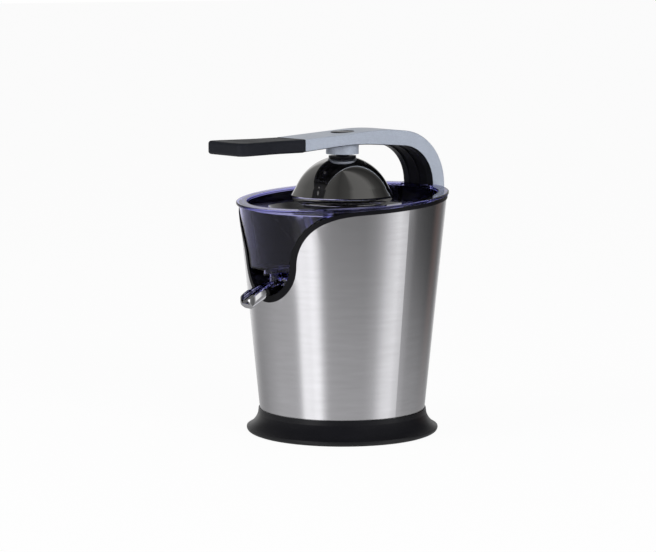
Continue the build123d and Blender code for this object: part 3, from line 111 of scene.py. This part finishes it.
def spread(tree, value, low, high, from_low=0.0, from_high=1.0):
    """Maps a value that changes over the surface to a range."""
    made = add_node(tree, "ShaderNodeMapRange")
    made.inputs["From Min"].default_value = from_low
    made.inputs["From Max"].default_value = from_high
    made.inputs["To Min"].default_value = low
    made.inputs["To Max"].default_value = high
    tree.links.new(value, made.inputs["Value"])
    return made.outputs["Result"]


def two_tones(tree, value, first, second):
    """Mixes two colours by a value that changes over the surface."""
    made = add_node(tree, "ShaderNodeMix", data_type="RGBA")
    made.inputs["A"].default_value = (*first, 1)
    made.inputs["B"].default_value = (*second, 1)
    tree.links.new(value, made.inputs["Factor"])
    return made.outputs["Result"]


def effect_group(name, inputs, outputs):
    """An empty shader group with named number sockets."""
    tree = bpy.data.node_groups.new(name, "ShaderNodeTree")
    for label, value in inputs.items():
        socket = tree.interface.new_socket(label, in_out="INPUT", socket_type="NodeSocketFloat")
        socket.default_value = value
    for label in outputs:
        tree.interface.new_socket(label, in_out="OUTPUT", socket_type="NodeSocketFloat")
    return tree, tree.nodes.new("NodeGroupInput"), tree.nodes.new("NodeGroupOutput")


# Slow bands to fine lines, and each one's share of the steel's tone
BAND_PACE = 0.06
LINE_SHARE = 0.55
BAND_SHARE = 0.45


def make_brushed_lines():
    """Fine lines that run round the body's axis, with slower bands of tone."""
    tree, given, made = effect_group("brushed_lines", {"Lines": 3800.0, "Streaks": 2.5}, ["Height", "Tone"])
    place = add_node(tree, "ShaderNodeTexCoord")
    split = add_node(tree, "ShaderNodeSeparateXYZ")
    tree.links.new(place.outputs["Object"], split.inputs[0])
    back = math_node(tree, "MULTIPLY", split.outputs["Y"], -1.0)
    round_body = math_node(tree, "ARCTAN2", split.outputs["X"], back)
    along = math_node(tree, "MULTIPLY", round_body, given.outputs["Streaks"])
    across = math_node(tree, "MULTIPLY", split.outputs["Z"], given.outputs["Lines"])
    joined = add_node(tree, "ShaderNodeCombineXYZ")
    tree.links.new(along, joined.inputs["X"])
    tree.links.new(across, joined.inputs["Z"])
    lines = add_node(tree, "ShaderNodeTexNoise")
    lines.inputs["Scale"].default_value = 1.0
    lines.inputs["Detail"].default_value = 3.0
    lines.inputs["Roughness"].default_value = 0.6
    tree.links.new(joined.outputs[0], lines.inputs["Vector"])
    slow = math_node(tree, "MULTIPLY", across, BAND_PACE)
    slow_joined = add_node(tree, "ShaderNodeCombineXYZ")
    tree.links.new(along, slow_joined.inputs["X"])
    tree.links.new(slow, slow_joined.inputs["Z"])
    bands = add_node(tree, "ShaderNodeTexNoise")
    bands.inputs["Scale"].default_value = 1.0
    bands.inputs["Detail"].default_value = 2.0
    tree.links.new(slow_joined.outputs[0], bands.inputs["Vector"])
    tree.links.new(lines.outputs["Fac"], made.inputs["Height"])
    blend = math_node(tree, "MULTIPLY", lines.outputs["Fac"], LINE_SHARE)
    rest = math_node(tree, "MULTIPLY", bands.outputs["Fac"], BAND_SHARE)
    tree.links.new(math_node(tree, "ADD", blend, rest), made.inputs["Tone"])
    return tree


def make_moulded_grain():
    """The fine skin of a moulded or cast surface, with a slow change of tone."""
    tree, given, made = effect_group("moulded_grain", {"Grain": 1800.0, "Patches": 40.0}, ["Height", "Tone"])
    place = add_node(tree, "ShaderNodeTexCoord")
    grain = add_node(tree, "ShaderNodeTexNoise")
    grain.inputs["Detail"].default_value = 2.0
    tree.links.new(place.outputs["Object"], grain.inputs["Vector"])
    tree.links.new(given.outputs["Grain"], grain.inputs["Scale"])
    patches = add_node(tree, "ShaderNodeTexNoise")
    patches.inputs["Detail"].default_value = 3.0
    tree.links.new(place.outputs["Object"], patches.inputs["Vector"])
    tree.links.new(given.outputs["Patches"], patches.inputs["Scale"])
    tree.links.new(grain.outputs["Fac"], made.inputs["Height"])
    tree.links.new(patches.outputs["Fac"], made.inputs["Tone"])
    return tree


def make_paint_flakes():
    """Metal flakes in a lacquer, each with its own tone."""
    tree, given, made = effect_group("paint_flakes", {"Flakes": 2200.0}, ["Tone"])
    place = add_node(tree, "ShaderNodeTexCoord")
    cells = add_node(tree, "ShaderNodeTexVoronoi")
    tree.links.new(place.outputs["Object"], cells.inputs["Vector"])
    tree.links.new(given.outputs["Flakes"], cells.inputs["Scale"])
    grey = add_node(tree, "ShaderNodeSeparateColor")
    tree.links.new(cells.outputs["Color"], grey.inputs[0])
    tree.links.new(grey.outputs["Red"], made.inputs["Tone"])
    return tree


def make_wiped_film():
    """The faint smears that wiping leaves on a polished surface."""
    tree, given, made = effect_group("wiped_film", {"Smears": 26.0}, ["Mask"])
    place = add_node(tree, "ShaderNodeTexCoord")
    smears = add_node(tree, "ShaderNodeTexNoise")
    smears.inputs["Detail"].default_value = 4.0
    smears.inputs["Distortion"].default_value = 1.2
    tree.links.new(place.outputs["Object"], smears.inputs["Vector"])
    tree.links.new(given.outputs["Smears"], smears.inputs["Scale"])
    tree.links.new(smears.outputs["Fac"], made.inputs["Mask"])
    return tree


GROUPS = {
    "brushed_lines": make_brushed_lines(),
    "moulded_grain": make_moulded_grain(),
    "paint_flakes": make_paint_flakes(),
    "wiped_film": make_wiped_film(),
}


def new_finish(name, **constants):
    """A material with its shader's plain values set on the shader."""
    material = bpy.data.materials.new(name)
    material.use_nodes = True
    shader = material.node_tree.nodes["Principled BSDF"]
    for socket, value in constants.items():
        shader.inputs[socket.replace("_", " ").title().replace("Ior", "IOR")].default_value = value
    return material, material.node_tree, shader


def place_effect(tree, name, **values):
    """One of the shared effects, with this material's own values."""
    made = add_node(tree, "ShaderNodeGroup", node_tree=GROUPS[name])
    for socket, value in values.items():
        made.inputs[socket].default_value = value
    return made.outputs


def bump(tree, shader, height, strength, depth):
    """Raises the surface by a height that changes over it."""
    made = add_node(tree, "ShaderNodeBump")
    made.inputs["Strength"].default_value = strength
    made.inputs["Distance"].default_value = depth
    tree.links.new(height, made.inputs["Height"])
    tree.links.new(made.outputs["Normal"], shader.inputs["Normal"])


# Finishes

# Darkest and lightest flake of the silver paint, and the dark tones painted as shade on the arm's underside
# and the inner faces of its walls
ARM_TONES = ((0.38, 0.42, 0.50), (0.50, 0.55, 0.64))
INSIDE_SHADE_TONES = ((0.006, 0.007, 0.010), (0.011, 0.012, 0.016))
# The arm's half width, just short of its sides, the direction from its underside to its top,
# and how far a face must turn that way to take the silver paint instead of the painted shade
ARM_SIDE = 0.0217
ARM_OUTWARD = (0.0, 0.6, 0.8)
PAINTED_SLOPE = 0.25
# Clear bowl: colours seen straight through and along the wall, and the tint in its thickness
BOWL_TONES = ((0.76, 0.76, 0.93), (0.38, 0.37, 0.84))
BOWL_TINT = (0.22, 0.21, 0.66, 1)
BOWL_TINT_DENSITY = 100.0


def brushed_steel(name, dark, light, low, high, lines=3800.0, streaks=2.5):
    """Sheet steel brushed round its axis."""
    material, tree, shader = new_finish(name, metallic=1.0, anisotropic=0.85, anisotropic_rotation=0.25)
    effect = place_effect(tree, "brushed_lines", Lines=lines, Streaks=streaks)
    tone = spread(tree, effect["Tone"], 0.0, 1.0, 0.3, 0.7)
    tree.links.new(two_tones(tree, tone, dark, light), shader.inputs["Base Color"])
    tree.links.new(spread(tree, tone, high, low), shader.inputs["Roughness"])
    bump(tree, shader, effect["Height"], strength=0.05, depth=0.00002)
    return material


def moulded_plastic(name, dark, light, low, high, grain=1800.0, patches=40.0, depth=0.00003, gloss=0.3):
    """Moulded plastic or rubber with its fine skin."""
    material, tree, shader = new_finish(name, ior=1.45, specular_ior_level=gloss)
    effect = place_effect(tree, "moulded_grain", Grain=grain, Patches=patches)
    tree.links.new(two_tones(tree, effect["Tone"], dark, light), shader.inputs["Base Color"])
    tree.links.new(spread(tree, effect["Tone"], low, high, 0.3, 0.7), shader.inputs["Roughness"])
    bump(tree, shader, effect["Height"], strength=0.3, depth=depth)
    return material


def polished_metal(name, dark, light, low, high, smears=26.0):
    """Polished or turned metal with a wiped film."""
    material, tree, shader = new_finish(name, metallic=1.0)
    effect = place_effect(tree, "wiped_film", Smears=smears)
    tree.links.new(two_tones(tree, effect["Mask"], dark, light), shader.inputs["Base Color"])
    tree.links.new(spread(tree, effect["Mask"], low, high, 0.35, 0.65), shader.inputs["Roughness"])
    return material


def arm_shade_mask(tree):
    """A mask of the arm's underside and the inner faces of its walls, where shade is painted into the colour.
    """
    place = add_node(tree, "ShaderNodeTexCoord")
    split = add_node(tree, "ShaderNodeSeparateXYZ")
    tree.links.new(place.outputs["Object"], split.inputs[0])
    outside = math_node(tree, "GREATER_THAN", math_node(tree, "ABSOLUTE", split.outputs["X"]), ARM_SIDE)
    slope = add_node(tree, "ShaderNodeVectorMath", operation="DOT_PRODUCT")
    tree.links.new(place.outputs["Normal"], slope.inputs[0])
    slope.inputs[1].default_value = ARM_OUTWARD
    upward = math_node(tree, "GREATER_THAN", slope.outputs["Value"], PAINTED_SLOPE)
    return math_node(tree, "SUBTRACT", 1.0, math_node(tree, "MAXIMUM", outside, upward))


def silver_paint(name, dark, light, painted_shade_inside=False):
    """Metallic lacquer with fine flakes under a thin coat; on the arm, its underside and inner wall faces
    take a painted shade instead.
    """
    material, tree, shader = new_finish(name, metallic=0.25, coat_weight=0.15, coat_roughness=0.25)
    flakes = place_effect(tree, "paint_flakes", Flakes=2600.0)
    skin = place_effect(tree, "moulded_grain", Grain=1500.0, Patches=30.0)
    colour = two_tones(tree, flakes["Tone"], dark, light)
    if painted_shade_inside:
        # Painted shade: the arm's underside and the inner faces of its walls take a near-black colour in
        # place of the silver.
        shaded = add_node(tree, "ShaderNodeMix", data_type="RGBA")
        tree.links.new(arm_shade_mask(tree), shaded.inputs["Factor"])
        tree.links.new(colour, shaded.inputs["A"])
        tree.links.new(two_tones(tree, skin["Tone"], *INSIDE_SHADE_TONES), shaded.inputs["B"])
        colour = shaded.outputs["Result"]
    tree.links.new(colour, shader.inputs["Base Color"])
    tree.links.new(spread(tree, skin["Tone"], 0.36, 0.48, 0.3, 0.7), shader.inputs["Roughness"])
    bump(tree, shader, skin["Height"], strength=0.15, depth=0.00003)
    return material


def clear_bowl(name):
    """Clear plastic that turns blue where the eye looks along the wall."""
    material, tree, shader = new_finish(name, transmission_weight=1.0, ior=1.3)
    film = place_effect(tree, "wiped_film", Smears=18.0)
    facing = add_node(tree, "ShaderNodeLayerWeight")
    facing.inputs["Blend"].default_value = 0.4
    edge = two_tones(tree, facing.outputs["Facing"], *BOWL_TONES)
    tree.links.new(edge, shader.inputs["Base Color"])
    tree.links.new(spread(tree, film["Mask"], 0.0, 0.02, 0.35, 0.65), shader.inputs["Roughness"])
    tint = add_node(tree, "ShaderNodeVolumeAbsorption")
    tint.inputs["Color"].default_value = BOWL_TINT
    tint.inputs["Density"].default_value = BOWL_TINT_DENSITY
    tree.links.new(tint.outputs[0], tree.nodes["Material Output"].inputs["Volume"])
    return material


# Each finish: its name, its darkest and lightest tone, its lowest and highest roughness,
# then the fineness of its pattern
FINISHES = {
    "base_black": moulded_plastic(
        "satin_black_base", (0.0045, 0.0045, 0.006), (0.008, 0.008, 0.010), 0.30, 0.40
    ),
    "foot_rubber": moulded_plastic(
        "black_rubber", (0.012, 0.012, 0.012), (0.022, 0.022, 0.022), 0.65, 0.8, 900.0
    ),
    "housing_black": moulded_plastic(
        "matt_black_housing", (0.004, 0.004, 0.006), (0.008, 0.008, 0.011), 0.45, 0.6
    ),
    "screw_steel": polished_metal("plated_steel", (0.48, 0.48, 0.50), (0.62, 0.62, 0.64), 0.25, 0.4, 120.0),
    "shell_steel": brushed_steel(
        "brushed_body_steel", (0.575, 0.57, 0.59), (0.625, 0.62, 0.645), 0.21, 0.25
    ),
    "trim_black": moulded_plastic(
        "semi_matt_trim", (0.003, 0.003, 0.004), (0.005, 0.005, 0.007), 0.34, 0.46, gloss=0.15
    ),
    "bush_brass": polished_metal("turned_brass", (0.60, 0.44, 0.20), (0.76, 0.58, 0.30), 0.22, 0.38, 90.0),
    "sheet_steel": polished_metal("plated_sheet", (0.42, 0.42, 0.44), (0.54, 0.54, 0.56), 0.35, 0.5, 40.0),
    "gear_nylon": moulded_plastic("white_nylon", (0.72, 0.71, 0.66), (0.82, 0.81, 0.77), 0.4, 0.55, 1200.0),
    "core_iron": brushed_steel(
        "stacked_iron", (0.10, 0.10, 0.105), (0.22, 0.22, 0.23), 0.5, 0.7, 2600.0, 1.0
    ),
    "bowl_clear": clear_bowl("clear_bowl_plastic"),
    "reamer_black": moulded_plastic(
        "gloss_black_reamer", (0.010, 0.010, 0.014), (0.018, 0.018, 0.022), 0.14, 0.24
    ),
    "spout_polished": polished_metal(
        "polished_spout", (0.62, 0.62, 0.64), (0.74, 0.74, 0.76), 0.03, 0.09, 60.0
    ),
    "dome_polished": polished_metal("polished_dome", (0.60, 0.59, 0.57), (0.68, 0.67, 0.65), 0.03, 0.08),
    "arm_silver": silver_paint("silver_arm_paint", *ARM_TONES),
    "liner_black": moulded_plastic(
        "matt_black_liner", (0.005, 0.005, 0.008), (0.009, 0.009, 0.013), 0.4, 0.55
    ),
    "grip_dark": moulded_plastic(
        "soft_dark_grip", (0.009, 0.010, 0.014), (0.014, 0.015, 0.020), 0.46, 0.58, 1400.0
    ),
    "button_black": moulded_plastic(
        "gloss_black_fittings", (0.004, 0.004, 0.006), (0.007, 0.007, 0.009), 0.26, 0.36, gloss=0.2
    ),
}

# Pieces whose finish differs from the rest of their slot
OWN_FINISHES = {
    "strainer": polished_metal(
        "polished_strainer_steel", (0.66, 0.66, 0.67), (0.76, 0.76, 0.77), 0.10, 0.18, 70.0
    ),
    # The arm's finish has painted shade on its underside and the inner faces of its walls.
    "lever_arm": silver_paint("silver_arm_with_painted_shade_inside", *ARM_TONES, painted_shade_inside=True),
}


def dress_nodes():
    """Every piece takes the finish of its slot, and the strainer and the arm their own."""
    for entry in frame["record"]["subparts"]:
        piece = nodes[entry["node"]]
        piece.data.materials.clear()
        piece.data.materials.append(OWN_FINISHES.get(entry["node"], FINISHES[entry["material_slot"]]))


# Screws

# Corners nearer than this are one corner, and heights nearer than the second are one height
MERGE_DISTANCE = 0.00001
SAME_HEIGHT = 0.0001
SCREW_SIDES = 36
# Shares of the head's radius or height
CROWN_SHARE = 0.72
RIM_SHARE = 0.9
SLOT_LENGTH_SHARE = 1.2
SLOT_WIDTH_SHARE = 0.28
SLOT_DEPTH_SHARE = 0.6
SCREW_SIZES = ("Head Radius", "Head Height", "Shank Radius", "Shank Length", "Slot Width", "Slot Depth")


def round_node(tree, kind, radii, depth, middle=None):
    """A cylinder with its middle at a height, or a frustum that stands on the origin."""
    made = add_node(tree, kind, fill_type="NGON")
    made.inputs["Vertices"].default_value = SCREW_SIDES
    for socket, radius in radii.items():
        tree.links.new(radius, made.inputs[socket])
    tree.links.new(depth, made.inputs["Depth"])
    if middle is None:
        return made.outputs["Mesh"]
    moved = add_node(tree, "GeometryNodeTransform")
    place = add_node(tree, "ShaderNodeCombineXYZ")
    tree.links.new(middle, place.inputs["Z"])
    tree.links.new(place.outputs[0], moved.inputs["Translation"])
    tree.links.new(made.outputs["Mesh"], moved.inputs["Geometry"])
    return moved.outputs["Geometry"]


def make_cross_head_screw():
    """A pan-head screw with a cross recess on each point, its head at the point and its shank above."""
    tree = bpy.data.node_groups.new("cross_head_screw", "GeometryNodeTree")
    tree.interface.new_socket("Geometry", in_out="INPUT", socket_type="NodeSocketGeometry")
    for name in SCREW_SIZES:
        tree.interface.new_socket(name, in_out="INPUT", socket_type="NodeSocketFloat")
    tree.interface.new_socket("Finish", in_out="INPUT", socket_type="NodeSocketMaterial")
    tree.interface.new_socket("Geometry", in_out="OUTPUT", socket_type="NodeSocketGeometry")
    given = tree.nodes.new("NodeGroupInput").outputs
    made = tree.nodes.new("NodeGroupOutput")
    half_head = math_node(tree, "MULTIPLY", given["Head Height"], 0.5)
    crown_r = math_node(tree, "MULTIPLY", given["Head Radius"], CROWN_SHARE)
    crown_radii = {"Radius Bottom": crown_r, "Radius Top": given["Head Radius"]}
    crown = round_node(tree, "GeometryNodeMeshCone", crown_radii, half_head)
    rim_middle = math_node(tree, "MULTIPLY", half_head, 1.5)
    rim = round_node(
        tree, "GeometryNodeMeshCylinder", {"Radius": given["Head Radius"]}, half_head, rim_middle
    )
    half_shank = math_node(tree, "MULTIPLY", given["Shank Length"], 0.5)
    shank_middle = math_node(tree, "ADD", given["Head Height"], half_shank)
    shank = round_node(
        tree,
        "GeometryNodeMeshCylinder",
        {"Radius": given["Shank Radius"]},
        given["Shank Length"],
        shank_middle,
    )
    solid = add_node(tree, "GeometryNodeMeshBoolean", operation="UNION")
    for part in (crown, rim, shank):
        tree.links.new(part, solid.inputs["Mesh 2"])
    cut = add_node(tree, "GeometryNodeMeshBoolean", operation="DIFFERENCE")
    tree.links.new(solid.outputs["Mesh"], cut.inputs["Mesh 1"])
    slot_length = math_node(tree, "MULTIPLY", given["Head Radius"], SLOT_LENGTH_SHARE)
    slot_height = math_node(tree, "MULTIPLY", given["Slot Depth"], 2.0)
    for turned in (False, True):
        size = add_node(tree, "ShaderNodeCombineXYZ")
        tree.links.new(slot_length, size.inputs["Y" if turned else "X"])
        tree.links.new(given["Slot Width"], size.inputs["X" if turned else "Y"])
        tree.links.new(slot_height, size.inputs["Z"])
        bar = add_node(tree, "GeometryNodeMeshCube")
        tree.links.new(size.outputs[0], bar.inputs["Size"])
        tree.links.new(bar.outputs["Mesh"], cut.inputs["Mesh 2"])
    placed = add_node(tree, "GeometryNodeInstanceOnPoints")
    tree.links.new(given["Geometry"], placed.inputs["Points"])
    tree.links.new(cut.outputs["Mesh"], placed.inputs["Instance"])
    real = add_node(tree, "GeometryNodeRealizeInstances")
    tree.links.new(placed.outputs["Instances"], real.inputs["Geometry"])
    finish = add_node(tree, "GeometryNodeSetMaterial")
    tree.links.new(real.outputs["Geometry"], finish.inputs["Geometry"])
    tree.links.new(given["Finish"], finish.inputs["Material"])
    tree.links.new(finish.outputs["Geometry"], made.inputs["Geometry"])
    return tree


def separate_solids(node):
    """The corner points of each solid of a node, in the mesh's own order."""
    copy = bmesh.new()
    copy.from_mesh(nodes[node].data)
    bmesh.ops.remove_doubles(copy, verts=copy.verts, dist=MERGE_DISTANCE)
    taken = set()
    solids = []
    for start in copy.verts:
        if start in taken:
            continue
        taken.add(start)
        reached = [start]
        for vert in reached:
            for edge in vert.link_edges:
                other = edge.other_vert(vert)
                if other not in taken:
                    taken.add(other)
                    reached.append(other)
        solids.append([vert.co.copy() for vert in reached])
    copy.free()
    return solids


def set_screws(node, body):
    """Cross-head screws in the places and sizes of a node's own screws."""
    solids = separate_solids(node)
    places = []
    for points in solids:
        low = Vector([min(p[axis] for p in points) for axis in range(3)])
        high = Vector([max(p[axis] for p in points) for axis in range(3)])
        places.append(Vector(((low.x + high.x) / 2, (low.y + high.y) / 2, low.z)))
    first, centre = solids[0], places[0]
    top = max(p.z for p in first)
    reach = [(math.hypot(p.x - centre.x, p.y - centre.y), p.z) for p in first]
    head_r = max(far for far, _ in reach)
    shank_r = max(far for far, height in reach if height > top - SAME_HEIGHT)
    head = max(height for far, height in reach if far > RIM_SHARE * head_r) - centre.z
    mesh = bpy.data.meshes.new(node + "_places")
    mesh.from_pydata(places, [], [])
    piece = bpy.data.objects.new("cross_head_" + node, mesh)
    scene.collection.objects.link(piece)
    modifier = piece.modifiers.new("screws", "NODES")
    modifier.node_group = SCREW_TREE
    items = SCREW_TREE.interface.items_tree
    sockets = {item.name: item.identifier for item in items if item.in_out == "INPUT"}
    shank = top - centre.z - head
    sizes = (head_r, head, shank_r, shank, SLOT_WIDTH_SHARE * head_r, SLOT_DEPTH_SHARE * head)
    for name, value in zip(SCREW_SIZES, sizes):
        modifier[sockets[name]] = value
    modifier[sockets["Finish"]] = FINISHES["screw_steel"]
    shown = piece.evaluated_get(bpy.context.evaluated_depsgraph_get())
    baked = bpy.data.meshes.new_from_object(shown)
    piece.modifiers.clear()
    piece.data = baked
    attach(piece, body)
    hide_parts(node)


SCREW_TREE = make_cross_head_screw()


# Springs


def set_spring(node, body):
    """A smoothly shaded copy of a spring that rides on its body in the node's place."""
    copy = bmesh.new()
    copy.from_mesh(nodes[node].data)
    bmesh.ops.remove_doubles(copy, verts=copy.verts, dist=MERGE_DISTANCE)
    mesh = bpy.data.meshes.new("pressed_" + node)
    copy.to_mesh(mesh)
    copy.free()
    mesh.materials.append(FINISHES["screw_steel"])
    mesh.shade_smooth()
    piece = bpy.data.objects.new("pressed_" + node, mesh)
    scene.collection.objects.link(piece)
    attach(piece, body)
    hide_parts(node)
    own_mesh(piece)


# Studio

FLOOR_SIZE = 20.0
FLOOR_TONE = (0.86, 0.86, 0.87, 1)
FLOOR_GLOW = 0.95
WORLD_LEVEL = 0.30
TENT_R = 0.9
# Brightness of the tent's panels near the floor, at the body and at the dome, by direction
# in degrees from the spout's side towards the side nearer the camera
FLOOR_PANELS = [
    (-180.0, 0.40), (-110.0, 0.36), (-75.0, 0.36), (-40.0, 0.62), (-12.0, 0.62), (-5.0, 0.75),
    (0.0, 1.45), (10.0, 1.40), (12.0, 1.25), (15.0, 1.50), (22.0, 1.55), (27.0, 1.0), (34.0, 0.62),
    (50.0, 0.60), (80.0, 0.58), (92.0, 0.70), (104.0, 1.20), (117.0, 1.25), (129.0, 0.75),
    (138.0, 0.53), (160.0, 0.48), (180.0, 0.40),
]
BODY_PANELS = [
    (-180.0, (0.16, 0.12, 0.11)), (-165.0, 0.20), (-140.0, 0.90), (-105.0, 0.85), (-80.0, 0.42),
    (-45.0, 0.42), (-20.0, 0.47), (-6.0, 0.55), (0.0, 1.55), (8.0, 1.60), (10.0, 1.35), (13.0, 1.75),
    (18.0, 1.70), (24.0, 0.90), (29.0, 0.24), (50.0, 0.17), (75.0, 0.14), (88.0, 0.22), (98.0, 0.40),
    (106.0, 0.80), (117.0, 1.30), (125.0, 0.90), (132.0, 0.25), (140.0, 0.07), (150.0, 0.05),
    (170.0, 0.05), (180.0, (0.16, 0.12, 0.11)),
]
DOME_PANELS = [
    (-180.0, 0.04), (-152.0, 0.20), (-144.0, 0.65), (-114.0, 0.65), (-102.0, 0.22), (-58.0, 0.12),
    (-20.0, 0.10), (8.0, 0.09), (40.0, 0.05), (70.0, 0.07), (85.0, 0.15), (130.0, 0.17), (150.0, 0.06),
    (175.0, 0.03), (180.0, 0.04),
]
TENT_PANELS = [(-0.18, FLOOR_PANELS), (-0.03, BODY_PANELS), (0.15, BODY_PANELS), (0.27, DOME_PANELS)]
# Each lamp's place, the point it looks at, its width, height and power
LAMPS = [
    ("key_lamp", (-0.4, -2.4, 1.1), (0, 0, 0.15), 1.6, 1.6, 40.0),
    ("fill_lamp", (2.6, -0.2, 0.9), (0, 0, 0.15), 1.4, 1.6, 54.0),
    ("top_lamp", (0.2, 0.3, 2.8), (0, 0, 0.1), 2.0, 2.0, 5.0),
]


def panel_ramp(tree, share, stops):
    """The brightness of one height of the tent's panels, by direction."""
    ramp = add_node(tree, "ShaderNodeValToRGB")
    elements = ramp.color_ramp.elements
    while len(elements) > 1:
        elements.remove(elements[-1])
    for index, (degrees, level) in enumerate(stops):
        where = (degrees + 180.0) / 360.0
        element = elements[0] if index == 0 else elements.new(where)
        element.position = where
        element.color = (*level, 1) if isinstance(level, tuple) else (level, level, level, 1)
    tree.links.new(share, ramp.inputs["Fac"])
    return ramp.outputs["Color"]


def tent_glow(tree):
    """The light and dark panels of the tent, by direction and height."""
    place = add_node(tree, "ShaderNodeTexCoord")
    split = add_node(tree, "ShaderNodeSeparateXYZ")
    tree.links.new(place.outputs["Object"], split.inputs[0])
    back = math_node(tree, "MULTIPLY", split.outputs["Y"], -1.0)
    angle = math_node(tree, "ARCTAN2", split.outputs["X"], back)
    share = spread(tree, angle, 0.0, 1.0, -math.pi, math.pi)
    shown = panel_ramp(tree, share, TENT_PANELS[0][1])
    for (low, _), (high, stops) in zip(TENT_PANELS, TENT_PANELS[1:]):
        mix = add_node(tree, "ShaderNodeMix", data_type="RGBA")
        tree.links.new(spread(tree, split.outputs["Z"], 0.0, 1.0, low, high), mix.inputs["Factor"])
        tree.links.new(shown, mix.inputs["A"])
        tree.links.new(panel_ramp(tree, share, stops), mix.inputs["B"])
        shown = mix.outputs["Result"]
    return shown


def lay_floor():
    """Pale floor that is white to the camera, keeps the shadow and is not seen from below."""
    floor_mesh = bpy.data.meshes.new("floor")
    corners = [(x * FLOOR_SIZE, y * FLOOR_SIZE, 0) for x, y in ((-1, -1), (1, -1), (1, 1), (-1, 1))]
    floor_mesh.from_pydata(corners, [], [(0, 1, 2, 3)])
    floor = bpy.data.objects.new("floor", floor_mesh)
    scene.collection.objects.link(floor)
    material = bpy.data.materials.new("pale_floor")
    material.use_nodes = True
    tree = material.node_tree
    tree.nodes.clear()
    diffuse = add_node(tree, "ShaderNodeBsdfDiffuse")
    diffuse.inputs["Color"].default_value = FLOOR_TONE
    glow = add_node(tree, "ShaderNodeEmission")
    path = add_node(tree, "ShaderNodeLightPath")
    seen = math_node(tree, "MAXIMUM", path.outputs["Is Camera Ray"], path.outputs["Is Transmission Ray"])
    seen = math_node(tree, "MULTIPLY", seen, FLOOR_GLOW)
    mix = add_node(tree, "ShaderNodeMixShader")
    out = add_node(tree, "ShaderNodeOutputMaterial")
    tree.links.new(seen, mix.inputs[0])
    tree.links.new(diffuse.outputs[0], mix.inputs[1])
    tree.links.new(glow.outputs[0], mix.inputs[2])
    side = add_node(tree, "ShaderNodeNewGeometry")
    from_below = add_node(tree, "ShaderNodeMixShader")
    tree.links.new(side.outputs["Backfacing"], from_below.inputs[0])
    tree.links.new(mix.outputs[0], from_below.inputs[1])
    tree.links.new(add_node(tree, "ShaderNodeBsdfTransparent").outputs[0], from_below.inputs[2])
    tree.links.new(from_below.outputs[0], out.inputs["Surface"])
    floor_mesh.materials.append(material)
    floor.visible_glossy = False


def raise_tent():
    """The light and dark walls that only polished surfaces mirror."""
    panels = bpy.data.meshes.new("light_tent")
    shape = bmesh.new()
    bmesh.ops.create_uvsphere(shape, u_segments=96, v_segments=64, radius=TENT_R)
    shape.to_mesh(panels)
    shape.free()
    tent = bpy.data.objects.new("light_tent", panels)
    scene.collection.objects.link(tent)
    material = bpy.data.materials.new("light_tent")
    material.use_nodes = True
    tree = material.node_tree
    tree.nodes.clear()
    glow = add_node(tree, "ShaderNodeEmission")
    out = add_node(tree, "ShaderNodeOutputMaterial")
    tree.links.new(tent_glow(tree), glow.inputs["Color"])
    tree.links.new(glow.outputs[0], out.inputs["Surface"])
    panels.materials.append(material)
    tent.visible_camera = False
    tent.visible_diffuse = False
    tent.visible_transmission = False
    tent.visible_volume_scatter = False
    tent.visible_shadow = False


def light_studio():
    """Soft lamps and an even white world."""
    for name, place, aim, width, height, power in LAMPS:
        data = bpy.data.lights.new(name, "AREA")
        data.shape = "RECTANGLE"
        data.size = width
        data.size_y = height
        data.energy = power
        lamp = bpy.data.objects.new(name, data)
        scene.collection.objects.link(lamp)
        lamp.location = place
        lamp.rotation_euler = (Vector(aim) - Vector(place)).to_track_quat("-Z", "Y").to_euler()
        lamp.visible_camera = False
        lamp.visible_glossy = False
        lamp.visible_transmission = False

    world = bpy.data.worlds.new("studio")
    world.use_nodes = True
    tree = world.node_tree
    tree.nodes.clear()
    path = add_node(tree, "ShaderNodeLightPath")
    shown = math_node(tree, "MAXIMUM", path.outputs["Is Camera Ray"], path.outputs["Is Glossy Ray"])
    shown = math_node(tree, "MAXIMUM", shown, path.outputs["Is Transmission Ray"])
    level = spread(tree, shown, WORLD_LEVEL, 1.0)
    back = add_node(tree, "ShaderNodeBackground")
    back.inputs["Color"].default_value = (1, 1, 1, 1)
    tree.links.new(level, back.inputs["Strength"])
    out = add_node(tree, "ShaderNodeOutputWorld")
    tree.links.new(back.outputs[0], out.inputs["Surface"])
    scene.world = world


place_camera()
dress_nodes()
set_screws("base_screws", "housing")
set_screws("liner_screws", "lever")
set_screws("grip_screws", "lever")
set_spring("button_spring", "lever")
set_spring("shaft_spring", "housing")
lay_floor()
raise_tent()
light_studio()
scene.view_settings.view_transform = "Standard"
